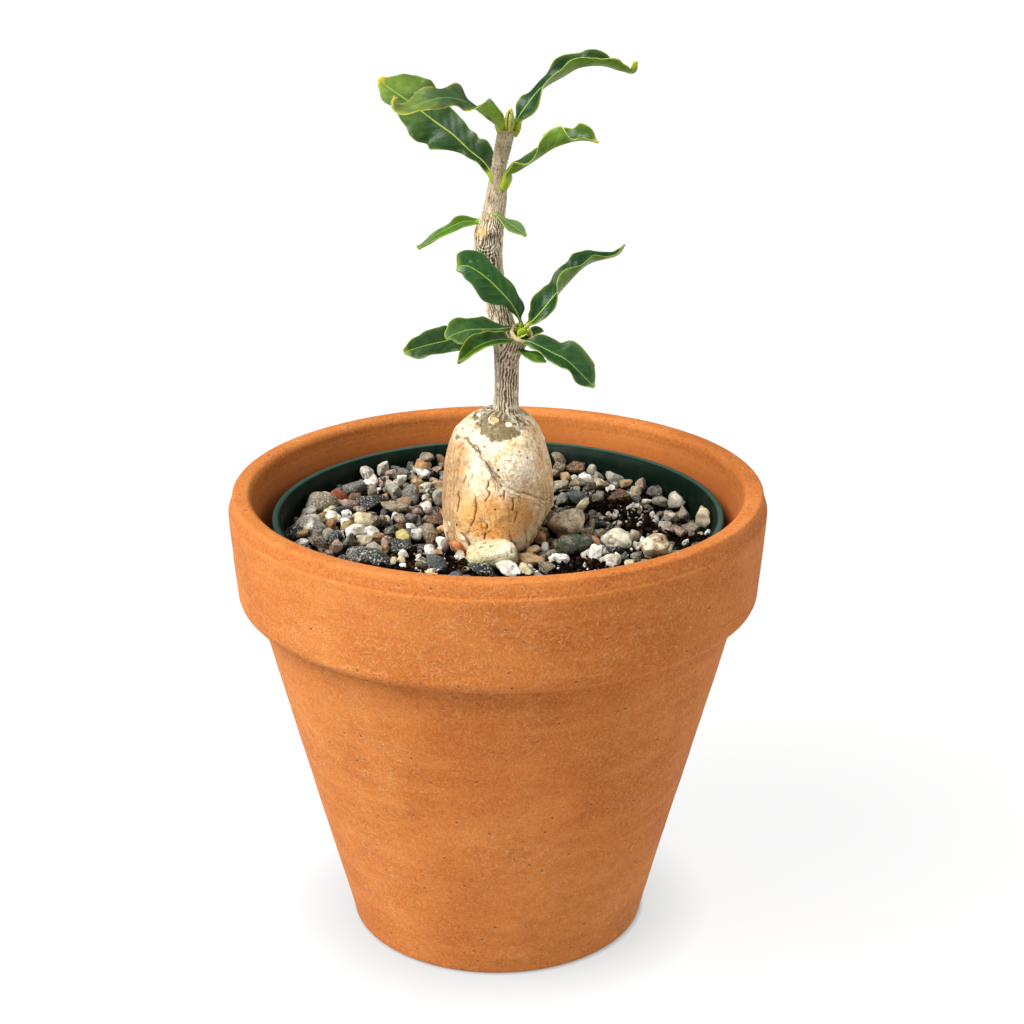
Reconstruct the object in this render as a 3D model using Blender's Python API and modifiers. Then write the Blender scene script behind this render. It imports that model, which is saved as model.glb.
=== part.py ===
# A fockea with a swollen root, in a green plastic nursery pot that stands inside a terracotta pot.
# Units are metres, +Z is up, and the origin is the middle of the terracotta pot's foot.
# The large pale stone lies on the -Y side of the root, which is the front.

import math
import random

import bmesh
import bpy
import numpy as np
from mathutils import Matrix, Vector

MM = 0.001

# Room left between pieces that touch
GAP = 0.3 * MM

# Terracotta pot, turned
POT_HEIGHT = 116.5 * MM
RIM_RADIUS = 66.5 * MM
RIM_FOOT_RADIUS = 65.0 * MM
RIM_FOOT_Z = 88.1 * MM
SHOULDER_RADIUS = 60.2 * MM
FOOT_RADIUS = 37.4 * MM
POT_WALL = 7.0 * MM
POT_FLOOR = 8.0 * MM
DRAIN_RADIUS = 6.0 * MM
POT_STEPS = 52

# Nursery pot, moulded plastic, wedged in the terracotta's taper by the edge of its base
NURSERY_TOP = 109.6 * MM
NURSERY_RIM_RADIUS = 55.9 * MM
NURSERY_LIP = 1.0 * MM
NURSERY_LIP_DEPTH = 2.0 * MM
NURSERY_HEIGHT = 80.0 * MM
NURSERY_COLLAR = 13.0 * MM
NURSERY_STEP = 0.8 * MM
NURSERY_WALL = 1.2 * MM
NURSERY_FLOOR = 1.5 * MM
NURSERY_STEPS = 40
NURSERY_DRAINS = 6
NURSERY_DRAIN_RADIUS = 4.0 * MM
NURSERY_DRAIN_RING = 27.0 * MM
NURSERY_DRAIN_TURN = 0.13

# Potting mix and its gravel
MIX_TOP = 102.0 * MM
MIX_DOME = 1.2 * MM
GRAVEL_SEED = 11
GRAVEL_COUNT = 64
GRAVEL_TRIES = 9000
GRAVEL_RADIUS = (2.3 * MM, 4.0 * MM)

# Swollen root: radius at each height, from the crown down to the buried end
ROOT_PROFILE_MM = (
    (136.0, 0.0), (135.8, 3.6), (134.6, 6.6), (132.6, 9.2), (128.6, 11.5), (123.0, 13.1),
    (116.5, 13.95), (110.0, 14.0), (105.0, 13.3), (101.0, 11.6), (96.0, 8.6), (92.0, 5.2), (90.0, 0.0),
)
ROOT_LEAN = 1.2 * MM
ROOT_SEGMENTS = 26
ROOT_RINGS = 16
SCAR_PLACE_MM = (-2.6, -6.6, 133.8)
SCAR_RADIUS = 1.35 * MM

# Woody stem: centre line and radius at each height
STEM_MM = (
    (2.0, 0.0, 133.4, 3.35), (2.0, 0.0, 136.5, 3.05), (2.1, 0.0, 142.0, 2.9), (2.2, 0.0, 148.0, 2.95),
    (1.8, 0.0, 153.0, 3.05), (0.9, 0.0, 158.0, 2.95), (-0.3, 0.0, 163.5, 2.8), (-1.4, 0.0, 168.5, 2.95),
    (-2.0, -0.2, 173.5, 3.05), (-2.1, -0.4, 178.0, 3.35), (-1.5, -0.3, 181.5, 3.1), (-0.7, 0.0, 185.0, 2.65),
    (0.0, 0.2, 190.0, 2.3), (0.3, 0.2, 194.5, 1.85), (1.2, 0.1, 199.0, 1.95), (2.2, 0.0, 203.8, 2.2),
)
SHOOT_MM = (
    (2.0, 0.2, 146.5, 2.4), (3.0, -2.2, 150.4, 2.5), (4.5, -4.4, 153.8, 2.4), (5.9, -6.4, 156.8, 2.6),
)
STEM_SAMPLES = 24
SHOOT_SAMPLES = 7
STEM_BEVEL_RESOLUTION = 3

# Young leaves still closed round each growing tip: place, width, height, lean towards +X and -Y
BUDS_MM = {
    "tip_bud": dict(foot=(2.8, -0.7, 203.8), radius=0.95, height=5.2, lean=(0.08, 0.0)),
    "shoot_bud": dict(foot=(6.0, -7.0, 156.6), radius=0.9, height=2.8, lean=(0.2, 0.4)),
}

# Loose stones large enough to be pieces of their own: middle, half sizes, turn about +Z in degrees
STONES_MM = {
    "stone_pale_large": dict(middle=(-1.6, -17.6, 103.9), half=(5.7, 4.0, 3.4), turn=4),
    "stone_grey_left": dict(middle=(-44.6, 18.0, 104.6), half=(4.1, 3.5, 3.0), turn=-10),
    "stone_mottled_left": dict(middle=(-47.0, 3.5, 103.6), half=(4.6, 3.6, 2.7), turn=12),
    "stone_tan_right": dict(middle=(18.2, 4.6, 104.0), half=(4.5, 3.6, 3.5), turn=35),
    "stone_dark_right": dict(middle=(18.6, -7.2, 103.2), half=(4.9, 3.0, 2.5), turn=15),
    "stone_white_right": dict(middle=(29.6, -5.6, 103.7), half=(4.0, 2.9, 2.5), turn=-28),
    "stone_yellow_right": dict(middle=(38.6, -10.4, 103.8), half=(3.6, 2.9, 2.6), turn=30),
    "stone_dark_front": dict(middle=(-32.6, -14.6, 103.0), half=(4.2, 2.8, 2.1), turn=-12),
}
STONE_SEGMENTS = 11
STONE_RINGS = 6

# Leaves. spine runs from the root of the stalk to the tip, and face is the way that the upper side looks,
# at even steps along it. left and right are the half widths on each side, also at even steps, and
# lift_left and lift_right are how far each half turns up from flat, in degrees.
LEAVES_MM = {
    "leaf_top_left": dict(
        spine=((-0.4, -0.9, 191.6), (-1.3, -0.3, 193.4), (-3.4, 1.5, 196.1), (-6.4, 3.2, 198.2), (-10.5, 5.6, 201.6),
               (-15.0, 7.8, 204.5), (-21.2, 10.0, 208.8), (-26.4, 11.5, 212.2), (-27.9, 12.0, 214.0)),
        face=((0.1, -0.9, 0.4), (0.05, -0.9, 0.42), (0.1, -0.85, 0.5)),
        left=(1.0, 1.2, 1.5, 2.6, 4.9, 5.7, 6.0, 5.4, 4.1, 4.0, 0.3),
        right=(0.8, 1.8, 3.3, 3.2, 3.8, 4.4, 4.8, 5.4, 5.6, 3.6, 0.3),
        lift_left=(15, 15, 15, 20, 10, -5, 0, 5, 10, 0, 10), lift_right=(15, 10, 10, 5, 5, 0, 5, 5, 15, 15, 5)),
    "leaf_top_front": dict(
        spine=((1.3, -0.3, 202.2), (0.8, -0.6, 203.8), (0.2, -1.0, 205.3), (-1.2, -2.0, 207.0), (-3.0, -3.2, 208.4),
               (-6.4, -5.6, 210.6), (-9.3, -7.2, 211.9), (-12.3, -8.6, 212.4), (-15.2, -9.6, 211.9), (-20.1, -11.2, 210.5),
               (-22.3, -12.0, 210.7), (-23.2, -12.3, 211.9), (-22.9, -12.3, 213.2)),
        face=((0.2, 0.3, 0.4), (-0.1, -0.1, 0.9), (0.0, -0.5, 0.85), (0.0, -0.5, 0.85), (0.1, -0.55, 0.8), (0.7, -0.5, 0.6)),
        left=(1.1, 1.3, 2.4, 3.2, 3.6, 4.0, 4.0, 3.9, 3.7, 3.3, 2.2, 0.3),
        right=(1.1, 1.3, 2.0, 3.0, 3.6, 4.0, 3.9, 4.0, 4.0, 3.1, 2.2, 0.3),
        lift_left=(10, 40, 75, 75, 30, 5, 25, 5, 25, 30, 15, 5),
        lift_right=(0, 5, 10, 5, -5, 5, 10, 15, -5, -15, 0, 5)),
    "leaf_top_right": dict(
        spine=((3.8, 0.8, 202.2), (4.6, 0.9, 203.8), (5.0, 0.6, 206.4), (7.2, 0.3, 209.7), (10.6, 1.4, 213.4),
               (15.3, 2.4, 216.0), (19.2, 2.6, 218.0), (24.3, 2.4, 218.4), (28.9, 2.0, 217.2), (31.3, 1.7, 217.1),
               (32.0, 1.5, 219.2)),
        face=((-0.7, -0.6, 0.2), (-0.6, -0.65, 0.45), (-0.35, -0.1, 0.93), (0.0, 0.0, 1.0), (0.3, 0.0, 0.95),
              (-0.5, 0.0, 0.85)),
        left=(0.8, 1.3, 2.7, 3.2, 3.8, 4.1, 3.9, 3.8, 3.5, 2.3, 0.3),
        right=(0.8, 1.3, 2.6, 3.7, 3.6, 3.9, 3.9, 3.7, 3.4, 2.3, 0.3),
        lift_left=(5, 15, 10, 0, 25, 60, 50, 55, 25, 5, 20), lift_right=(5, 0, -15, 15, 40, 35, 50, 40, 25, 30, 30)),
    "leaf_upper_right": dict(
        spine=((1.4, -1.4, 190.6), (2.3, -2.5, 192.6), (3.0, -3.3, 194.3), (4.8, -4.1, 195.3), (8.8, -5.6, 198.1),
               (12.9, -7.0, 201.0), (17.2, -8.4, 202.7), (20.4, -9.3, 203.1), (23.3, -10.0, 202.6)),
        face=((-0.5, -0.6, 0.6), (-0.3, -0.2, 0.95), (-0.2, -0.1, 1.0), (0.1, -0.1, 1.0), (0.3, -0.1, 0.9)),
        left=(1.1, 1.5, 2.4, 3.1, 3.1, 3.3, 3.5, 3.4, 3.1, 2.6, 0.3),
        right=(1.1, 1.5, 2.2, 2.8, 3.1, 3.3, 3.5, 3.4, 2.8, 2.4, 0.4),
        lift_left=(15, 30, 60, 45, 15, 20, 40, 45, 40, 55, 10), lift_right=(15, 40, 45, 30, 10, 30, 60, 70, 10, 15, 10)),
    "leaf_middle_left": dict(
        spine=((-1.6, -0.6, 181.8), (-3.9, -1.0, 182.2), (-6.0, -1.4, 182.4), (-8.8, -2.0, 182.2), (-14.0, -3.2, 179.8),
               (-18.7, -4.4, 176.5)),
        face=((0.0, -0.6, 0.8), (-0.15, -0.7, 0.7), (-0.3, -0.6, 0.7)),
        left=(0.6, 0.8, 1.6, 1.9, 1.8, 1.4, 0.3), right=(0.6, 0.7, 1.3, 1.1, 1.2, 1.0, 0.3),
        lift_left=(10, 5, 5, 10, 15, 15, 15), lift_right=(15, 15, 20, 15, 15, 10, 10)),
    "leaf_middle_front": dict(
        spine=((-0.8, -2.4, 184.6), (0.2, -3.5, 184.1), (1.6, -4.6, 183.4), (3.5, -5.6, 182.2), (6.7, -7.6, 180.3)),
        face=((0.3, -0.5, 0.8), (0.3, -0.6, 0.7), (0.5, -0.5, 0.6)),
        left=(0.5, 0.6, 1.0, 1.9, 1.8, 0.3), right=(0.5, 0.7, 1.5, 2.0, 1.7, 0.3),
        lift_left=(15, 10, 0, 10, 15, 10), lift_right=(15, 15, 10, 0, 5, 10)),
    "leaf_rosette_up_left": dict(
        spine=((5.4, -4.7, 157.0), (5.6, -5.3, 158.7), (4.9, -6.3, 160.8), (4.2, -7.0, 162.5), (2.4, -7.8, 165.3),
               (-2.3, -8.1, 170.2), (-6.6, -7.4, 172.9), (-9.5, -6.8, 172.9)),
        face=((-0.1, -0.95, 0.3), (0.1, -0.93, 0.35), (0.25, -0.8, 0.5)),
        left=(0.5, 0.7, 1.8, 2.1, 3.7, 4.1, 3.6, 3.0, 0.3), right=(0.5, 0.7, 2.8, 2.8, 2.8, 3.8, 3.8, 3.7, 0.3),
        lift_left=(5, 10, 15, 15, 5, 5, 10, 10, 5), lift_right=(5, 10, 10, 10, 0, 5, 10, 20, 15)),
    "leaf_rosette_up_right": dict(
        spine=((6.6, -4.5, 156.6), (7.0, -5.1, 158.2), (8.0, -5.6, 159.1), (9.4, -5.8, 160.5), (12.7, -5.0, 164.3),
               (15.8, -3.3, 167.5), (19.6, -1.0, 170.9), (22.6, 0.6, 172.4), (28.4, 2.3, 173.6), (30.3, 3.0, 175.9)),
        face=((-0.5, -0.8, 0.35), (-0.6, -0.65, 0.45), (-0.55, -0.3, 0.78), (-0.2, -0.05, 1.0), (-0.3, 0.0, 0.95)),
        left=(0.5, 0.8, 3.0, 3.4, 3.6, 3.9, 4.0, 3.7, 3.3, 2.3, 0.3),
        right=(0.5, 0.8, 2.6, 3.3, 3.6, 4.0, 4.1, 3.7, 3.3, 2.2, 0.3),
        lift_left=(5, 10, 30, 10, 5, 25, 35, 40, 35, 25, 20), lift_right=(5, 5, 5, 15, 55, 60, 40, 30, 25, 25, 20)),
    "leaf_rosette_far_left": dict(
        spine=((1.3, -1.2, 153.5), (-2.3, -2.8, 154.7), (-6.1, -3.8, 155.0), (-12.3, -5.2, 154.3), (-18.5, -6.4, 153.1),
               (-22.3, -7.0, 151.9)),
        face=((0.0, -0.7, 0.7), (0.05, -0.75, 0.65), (-0.2, -0.75, 0.6)),
        left=(0.7, 0.8, 2.0, 3.1, 3.4, 3.7, 3.4, 3.3, 0.3), right=(0.7, 0.8, 1.9, 2.5, 3.1, 3.6, 3.4, 2.0, 0.3),
        lift_left=(15, 10, 10, 10, 10, 15, 20, 10, 0), lift_right=(15, 15, 10, 0, 0, 5, 5, 5, 10)),
    "leaf_rosette_left": dict(
        spine=((4.7, -5.2, 156.9), (3.55, -6.15, 157.75), (1.9, -7.0, 157.9), (0.1, -7.5, 157.8), (-3.5, -8.7, 158.1),
               (-7.2, -9.8, 158.1), (-10.9, -10.9, 157.1), (-11.9, -11.3, 156.2)),
        face=((0.1, -0.5, 0.85), (0.0, -0.55, 0.83), (-0.3, -0.6, 0.75)),
        left=(0.5, 0.7, 1.8, 3.0, 3.7, 4.0, 3.9, 3.4, 0.5), right=(0.5, 0.7, 1.8, 2.8, 3.9, 4.2, 3.7, 2.4, 0.3),
        lift_left=(10, 15, 20, 20, 15, 10, 5, 0, 0), lift_right=(10, 10, 0, -5, 0, 5, 5, 5, 5)),
    "leaf_rosette_low_left": dict(
        spine=((5.0, -6.6, 154.6), (3.8, -8.3, 155.3), (2.0, -10.2, 156.0), (0.4, -11.7, 156.4), (-2.3, -13.9, 156.4),
               (-5.2, -16.0, 155.5), (-9.2, -18.5, 152.7)),
        face=((0.2, -0.4, 0.9), (0.0, -0.5, 0.85), (-0.2, -0.6, 0.75)),
        left=(0.5, 0.9, 2.3, 2.9, 2.8, 2.1, 0.3), right=(0.5, 0.9, 1.9, 2.2, 2.7, 1.7, 0.3),
        lift_left=(10, 15, 10, 15, 25, 30, 15), lift_right=(15, 35, 50, 50, 40, 40, 20)),
    "leaf_rosette_low_right": dict(
        spine=((5.8, -6.9, 154.3), (6.5, -8.2, 155.0), (7.7, -8.9, 155.0), (9.8, -9.7, 154.3), (12.7, -11.0, 153.1),
               (16.5, -12.8, 151.5), (20.2, -15.2, 148.4), (22.7, -16.6, 146.2)),
        face=((0.1, -0.5, 0.85), (0.3, -0.65, 0.7), (0.5, -0.6, 0.55)),
        left=(0.5, 1.3, 3.3, 3.8, 4.2, 4.3, 3.9, 2.6, 0.3), right=(0.5, 1.2, 2.6, 3.3, 3.7, 3.9, 3.7, 3.0, 0.3),
        lift_left=(10, 20, 20, 5, 10, 10, 10, 5, 5), lift_right=(5, 20, 35, 25, 20, 20, 25, 5, 0)),
    "leaf_rosette_under": dict(
        spine=((4.5, -4.4, 152.6), (5.4, -5.5, 152.2), (6.8, -7.0, 151.9), (8.4, -8.2, 151.6), (10.1, -9.4, 151.2),
               (11.5, -10.2, 150.6)),
        face=((0.2, -0.4, 0.9), (0.2, -0.6, 0.75), (0.4, -0.6, 0.65)),
        left=(0.5, 0.8, 1.6, 1.8, 1.3, 0.3), right=(0.5, 0.8, 1.4, 1.7, 1.6, 0.4),
        lift_left=(10, 15, 20, 10, 5, 10), lift_right=(10, 10, 10, 5, -5, 0)),
    "leaf_rosette_back": dict(
        spine=((6.2, -4.9, 155.0), (7.4, -4.9, 155.8), (8.4, -4.6, 156.3), (9.6, -3.9, 156.6), (10.8, -3.2, 156.4)),
        face=((-0.1, -0.4, 0.9), (0.1, -0.5, 0.85), (0.4, -0.4, 0.8)),
        left=(0.5, 0.7, 1.2, 1.3, 1.1, 0.3), right=(0.5, 0.7, 1.2, 1.3, 1.1, 0.3),
        lift_left=(10, 5, 0, 0, 0, 5), lift_right=(0, 0, 5, 10, 10, 5)),
}
TIP_HALF_MM = 0.55
BLADE_THICKNESS = 0.65 * MM
STALK_THICKNESS = 1.3 * MM
STALK_SHARE = 0.12
LEAF_ROWS, LEAF_COLUMNS = 16, 6
SMALL_LEAF_ROWS, SMALL_LEAF_COLUMNS = 8, 4

COLOURS = {
    "terracotta": ((0.62, 0.24, 0.09), 0.85),
    "green_plastic": ((0.01, 0.05, 0.035), 0.4),
    "mix": ((0.16, 0.13, 0.1), 0.95),
    "bark_pale": ((0.66, 0.5, 0.3), 0.8),
    "bark_grey": ((0.36, 0.3, 0.24), 0.9),
    "leaf": ((0.03, 0.12, 0.025), 0.35),
    "young_leaf": ((0.35, 0.42, 0.04), 0.45),
    "stone_pale": ((0.75, 0.68, 0.5), 0.85),
    "stone_grey": ((0.3, 0.28, 0.25), 0.9),
}


def clear_scene():
    for obj in list(bpy.data.objects):
        bpy.data.objects.remove(obj)


def new_collection(name):
    collection = bpy.data.collections.new(name)
    bpy.context.scene.collection.children.link(collection)
    return collection


def new_material(name):
    colour, roughness = COLOURS[name]
    material = bpy.data.materials.new(name)
    material.use_nodes = True
    shader = material.node_tree.nodes["Principled BSDF"]
    shader.inputs["Base Color"].default_value = (*colour, 1.0)
    shader.inputs["Roughness"].default_value = roughness
    shader.inputs["Metallic"].default_value = 0.0
    return material


def add_object(name, mesh, collection, material=None, smooth=True):
    obj = bpy.data.objects.new(name, mesh)
    collection.objects.link(obj)
    if material:
        obj.data.materials.append(material)
    if smooth:
        mesh.shade_smooth()
    return obj


def mark_as_helper(obj):
    obj.hide_render = True
    obj.display_type = "WIRE"
    return obj


def arc(centre, radii, start, end, steps):
    """Points of an ellipse's arc in the r, z plane, with the angles in degrees."""
    angles = np.radians(np.linspace(start, end, steps + 1))
    return [(centre[0] + radii[0] * math.cos(a), centre[1] + radii[1] * math.sin(a)) for a in angles]


def turned(name, profile, steps, collection, material, closed=True):
    """A profile of (r, z) points turned about +Z by a Screw modifier."""
    bm = bmesh.new()
    verts = [bm.verts.new((r, 0.0, z)) for r, z in profile]
    ring = verts + verts[:1] if closed else verts
    for a, b in zip(ring, ring[1:]):
        bm.edges.new((a, b))
    mesh = bpy.data.meshes.new(name)
    bm.to_mesh(mesh)
    bm.free()
    obj = add_object(name, mesh, collection, material, smooth=False)
    screw = obj.modifiers.new("Turn", "SCREW")
    screw.axis = "Z"
    screw.angle = math.tau
    screw.steps = steps
    screw.render_steps = steps
    screw.use_merge_vertices = True
    screw.merge_threshold = 0.00005
    return obj


def add_boolean(obj, operation, collection, solver="EXACT"):
    boolean = obj.modifiers.new(operation.title(), "BOOLEAN")
    boolean.operation = operation
    boolean.operand_type = "COLLECTION"
    boolean.collection = collection
    boolean.solver = solver
    return boolean


def apply_modifiers(obj):
    graph = bpy.context.evaluated_depsgraph_get()
    mesh = bpy.data.meshes.new_from_object(obj.evaluated_get(graph))
    obj.modifiers.clear()
    obj.data = mesh


def smooth_line(points, samples):
    """Catmull-Rom curve through the points, sampled evenly by the points' own spacing."""
    points = np.asarray(points, float)
    ends = np.vstack([2 * points[0] - points[1], points, 2 * points[-1] - points[-2]])
    steps = np.linalg.norm(np.diff(points[:, :3], axis=0), axis=1)
    knots = np.concatenate([[0.0], np.cumsum(steps)])
    at = np.linspace(0.0, knots[-1], samples)
    i = np.clip(np.searchsorted(knots, at, side="right") - 1, 0, len(points) - 2)
    t = ((at - knots[i]) / steps[i])[:, None]
    a, b, c, d = (ends[i + k] for k in range(4))
    return 0.5 * (2 * b + (c - a) * t + (2 * a - 5 * b + 4 * c - d) * t**2 + (3 * b - a - 3 * c + d) * t**3)


def pot_inner_radius(z):
    """The terracotta's inner wall is a cone parallel to its outer wall."""
    slope = (SHOULDER_RADIUS - FOOT_RADIUS) / RIM_FOOT_Z
    return FOOT_RADIUS - POT_WALL + slope * z


def make_clay_pot(collection):
    foot_round, crest_round, mouth_round, lip_round, cove = 1.6 * MM, 5.0 * MM, 2.6 * MM, 3.0 * MM, 5.0 * MM
    crest_width = 3.2 * MM
    mouth = pot_inner_radius(POT_HEIGHT)
    profile = arc((mouth + mouth_round, POT_HEIGHT - mouth_round), (mouth_round, mouth_round), 180, 90, 3)
    profile += arc((RIM_RADIUS - crest_width, POT_HEIGHT - crest_round), (crest_width, crest_round), 90, 0, 5)
    profile += arc((RIM_FOOT_RADIUS - lip_round, RIM_FOOT_Z + 0.5 * MM + lip_round), (lip_round, lip_round), 0, -80, 4)
    profile += [(SHOULDER_RADIUS, RIM_FOOT_Z)]
    profile += arc((FOOT_RADIUS - foot_round, foot_round), (foot_round, foot_round), -15, -90, 3)
    profile += [(DRAIN_RADIUS + 0.5 * MM, 0.0), (DRAIN_RADIUS, 0.8 * MM), (DRAIN_RADIUS, POT_FLOOR)]
    floor_edge = pot_inner_radius(POT_FLOOR)
    profile += arc((floor_edge - cove + 1.2 * MM, POT_FLOOR + cove), (cove, cove), -90, -14, 3)
    return turned("clay_pot", profile, POT_STEPS, collection, new_material("terracotta"))


def nursery_walls():
    """Outer and inner wall of the nursery pot as (r, z) points, both from the top down."""
    base_z = NURSERY_TOP - NURSERY_HEIGHT
    base_radius = pot_inner_radius(base_z) - 1.2 * GAP
    collar_z = NURSERY_TOP - NURSERY_COLLAR
    collar_radius = NURSERY_RIM_RADIUS - NURSERY_LIP
    draft = 0.5 * MM
    outer = [
        (collar_radius, NURSERY_TOP - NURSERY_LIP_DEPTH),
        (collar_radius - draft, collar_z),
        (collar_radius - draft - NURSERY_STEP, collar_z - NURSERY_STEP),
        (base_radius, base_z),
    ]
    inner = [(r - NURSERY_WALL, z) for r, z in outer[1:3]]
    inner = [(NURSERY_RIM_RADIUS - NURSERY_LIP - NURSERY_WALL, NURSERY_TOP - 0.4 * MM)] + inner
    inner += [(base_radius - NURSERY_WALL + 0.2 * MM, base_z + NURSERY_FLOOR)]
    return outer, inner


def make_nursery_pot(collection, cutters):
    outer, inner = nursery_walls()
    roll = arc((NURSERY_RIM_RADIUS - 0.6 * MM, NURSERY_TOP - 0.6 * MM), (0.6 * MM, 0.6 * MM), 120, 0, 4)
    lip_foot = [(NURSERY_RIM_RADIUS, NURSERY_TOP - NURSERY_LIP_DEPTH)]
    base_z = outer[-1][1]
    hollow = [(r, base_z) for r in (outer[-1][0] - 2.2 * MM,)] + [(outer[-1][0] - 3.0 * MM, base_z + 0.7 * MM)]
    middle = [(2.5 * MM, base_z + 0.7 * MM), (2.5 * MM, base_z + NURSERY_FLOOR)]
    profile = roll + lip_foot + outer + hollow + middle + inner[::-1]
    obj = turned("nursery_pot", profile, NURSERY_STEPS, collection, new_material("green_plastic"))
    for index in range(NURSERY_DRAINS):
        angle = math.tau * (index + NURSERY_DRAIN_TURN) / NURSERY_DRAINS
        bm = bmesh.new()
        bmesh.ops.create_cone(
            bm, cap_ends=True, segments=16, radius1=NURSERY_DRAIN_RADIUS, radius2=NURSERY_DRAIN_RADIUS,
            depth=6 * MM, matrix=Matrix.Translation(
                (NURSERY_DRAIN_RING * math.cos(angle), NURSERY_DRAIN_RING * math.sin(angle), base_z)))
        mesh = bpy.data.meshes.new(f"drain_cutter_{index}")
        bm.to_mesh(mesh)
        bm.free()
        mark_as_helper(add_object(mesh.name, mesh, cutters))
    add_boolean(obj, "DIFFERENCE", cutters)
    return obj


def root_centre_shift(z):
    """The buried end of the root leans towards -X."""
    return -ROOT_LEAN * np.clip((116.0 * MM - z) / (14.0 * MM), 0.0, 1.2)


def root_mesh(name, grow):
    """A UV sphere whose rings take the root's profile, with slow lumps round it; grow makes the room around it."""
    bm = bmesh.new()
    bmesh.ops.create_uvsphere(bm, u_segments=ROOT_SEGMENTS, v_segments=ROOT_RINGS, radius=1.0)
    line = smooth_line([(r, 0.0, z) for z, r in ROOT_PROFILE_MM], 200) * MM
    for vert in bm.verts:
        share = math.acos(max(-1.0, min(1.0, vert.co.z))) / math.pi
        radius, _, z = line[min(len(line) - 1, round(share * (len(line) - 1)))]
        angle = math.atan2(vert.co.y, vert.co.x)
        lumps = 1 + 0.022 * math.sin(2 * angle + 0.6 + z * 90) + 0.016 * math.sin(3 * angle - z * 160)
        radius = max(0.0, radius) * lumps + grow * math.sin(share * math.pi)
        height = z + grow * math.cos(share * math.pi)
        vert.co = (radius * math.cos(angle) + root_centre_shift(z), radius * math.sin(angle), height)
    bmesh.ops.triangulate(bm, faces=bm.faces)
    mesh = bpy.data.meshes.new(name)
    bm.to_mesh(mesh)
    bm.free()
    return mesh


def tube(name, line_mm, samples, grow, collection, material):
    """A curve with a radius at each point, made a mesh with its caps welded."""
    line = smooth_line(line_mm, samples) * MM
    if grow:
        along = line[0, :3] - line[1, :3]
        line[0, :3] += along / np.linalg.norm(along) * grow
        along = line[-1, :3] - line[-2, :3]
        line[-1, :3] += along / np.linalg.norm(along) * grow
    data = bpy.data.curves.new(name + "_line", "CURVE")
    data.dimensions = "3D"
    data.bevel_depth = 1.0
    data.bevel_resolution = STEM_BEVEL_RESOLUTION
    data.use_fill_caps = True
    spline = data.splines.new("POLY")
    spline.points.add(len(line) - 1)
    for point, (x, y, z, radius) in zip(spline.points, line):
        point.co = (x, y, z, 1.0)
        point.radius = radius + grow
    curve = bpy.data.objects.new(name + "_line", data)
    collection.objects.link(curve)
    graph = bpy.context.evaluated_depsgraph_get()
    mesh = bpy.data.meshes.new_from_object(curve.evaluated_get(graph))
    bpy.data.objects.remove(curve)
    bm = bmesh.new()
    bm.from_mesh(mesh)
    bmesh.ops.remove_doubles(bm, verts=bm.verts, dist=0.00001)
    bm.to_mesh(mesh)
    bm.free()
    mesh.name = name
    return add_object(name, mesh, collection, material)


def make_stem(collection, joined, rooms):
    """The stem and its side shoot are one piece of wood. Enlarged copies keep room round them."""
    stem = tube("stem", STEM_MM, STEM_SAMPLES, 0.0, collection, new_material("bark_grey"))
    shoot = tube("shoot", SHOOT_MM, SHOOT_SAMPLES, 0.0, joined, None)
    add_boolean(stem, "UNION", joined)
    apply_modifiers(stem)
    bpy.data.objects.remove(shoot)
    mark_as_helper(tube("stem_room", STEM_MM, STEM_SAMPLES, GAP, rooms, None))
    mark_as_helper(tube("shoot_room", SHOOT_MM, SHOOT_SAMPLES, GAP, rooms, None))
    return stem


def make_root(collection, joined, stem_rooms):
    obj = add_object("caudex", root_mesh("caudex", 0.0), collection, new_material("bark_pale"))
    bm = bmesh.new()
    place = Vector(SCAR_PLACE_MM) * MM
    outward = Vector((SCAR_PLACE_MM[0], SCAR_PLACE_MM[1], 9.0)).normalized()
    turn = outward.to_track_quat("Z", "Y").to_matrix().to_4x4()
    bmesh.ops.create_cone(
        bm, cap_ends=True, segments=14, radius1=SCAR_RADIUS * 1.25, radius2=SCAR_RADIUS, depth=2.4 * MM,
        matrix=Matrix.Translation(place) @ turn)
    mesh = bpy.data.meshes.new("scar")
    bm.to_mesh(mesh)
    bm.free()
    scar = add_object("scar", mesh, joined)
    add_boolean(obj, "UNION", joined)
    apply_modifiers(obj)
    bpy.data.objects.remove(scar)
    add_boolean(obj, "DIFFERENCE", stem_rooms)
    return obj


def stone_mesh(name, half, turn, grow, segments, rings):
    """A rounded stone: an ellipsoid squared a little, with slow dents that follow from its own size."""
    bm = bmesh.new()
    bmesh.ops.create_uvsphere(bm, u_segments=segments, v_segments=rings, radius=1.0)
    seed = half[0] * 7.0 / MM
    for vert in bm.verts:
        p = vert.co
        dent = 1 + 0.07 * math.sin(3.1 * p.x + seed) + 0.06 * math.sin(3.7 * p.y + 2 * p.z + seed * 1.7)
        vert.co = Vector((p.x * half[0], p.y * half[1], p.z * half[2])) * dent + p * grow
    bmesh.ops.rotate(bm, verts=bm.verts, cent=(0, 0, 0), matrix=Matrix.Rotation(math.radians(turn), 3, "Z"))
    bmesh.ops.triangulate(bm, faces=bm.faces)
    mesh = bpy.data.meshes.new(name)
    bm.to_mesh(mesh)
    bm.free()
    return mesh


def make_stones(collection, rooms):
    pale, grey = new_material("stone_pale"), new_material("stone_grey")
    for name, stone in STONES_MM.items():
        half = [size * MM for size in stone["half"]]
        material = grey if "grey" in name or "dark" in name else pale
        mesh = stone_mesh(name, half, stone["turn"], 0.0, STONE_SEGMENTS, STONE_RINGS)
        obj = add_object(name, mesh, collection, material)
        room = stone_mesh(name + "_room", half, stone["turn"], GAP, STONE_SEGMENTS, STONE_RINGS)
        helper = mark_as_helper(add_object(name + "_room", room, rooms))
        obj.location = helper.location = [value * MM for value in stone["middle"]]


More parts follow.
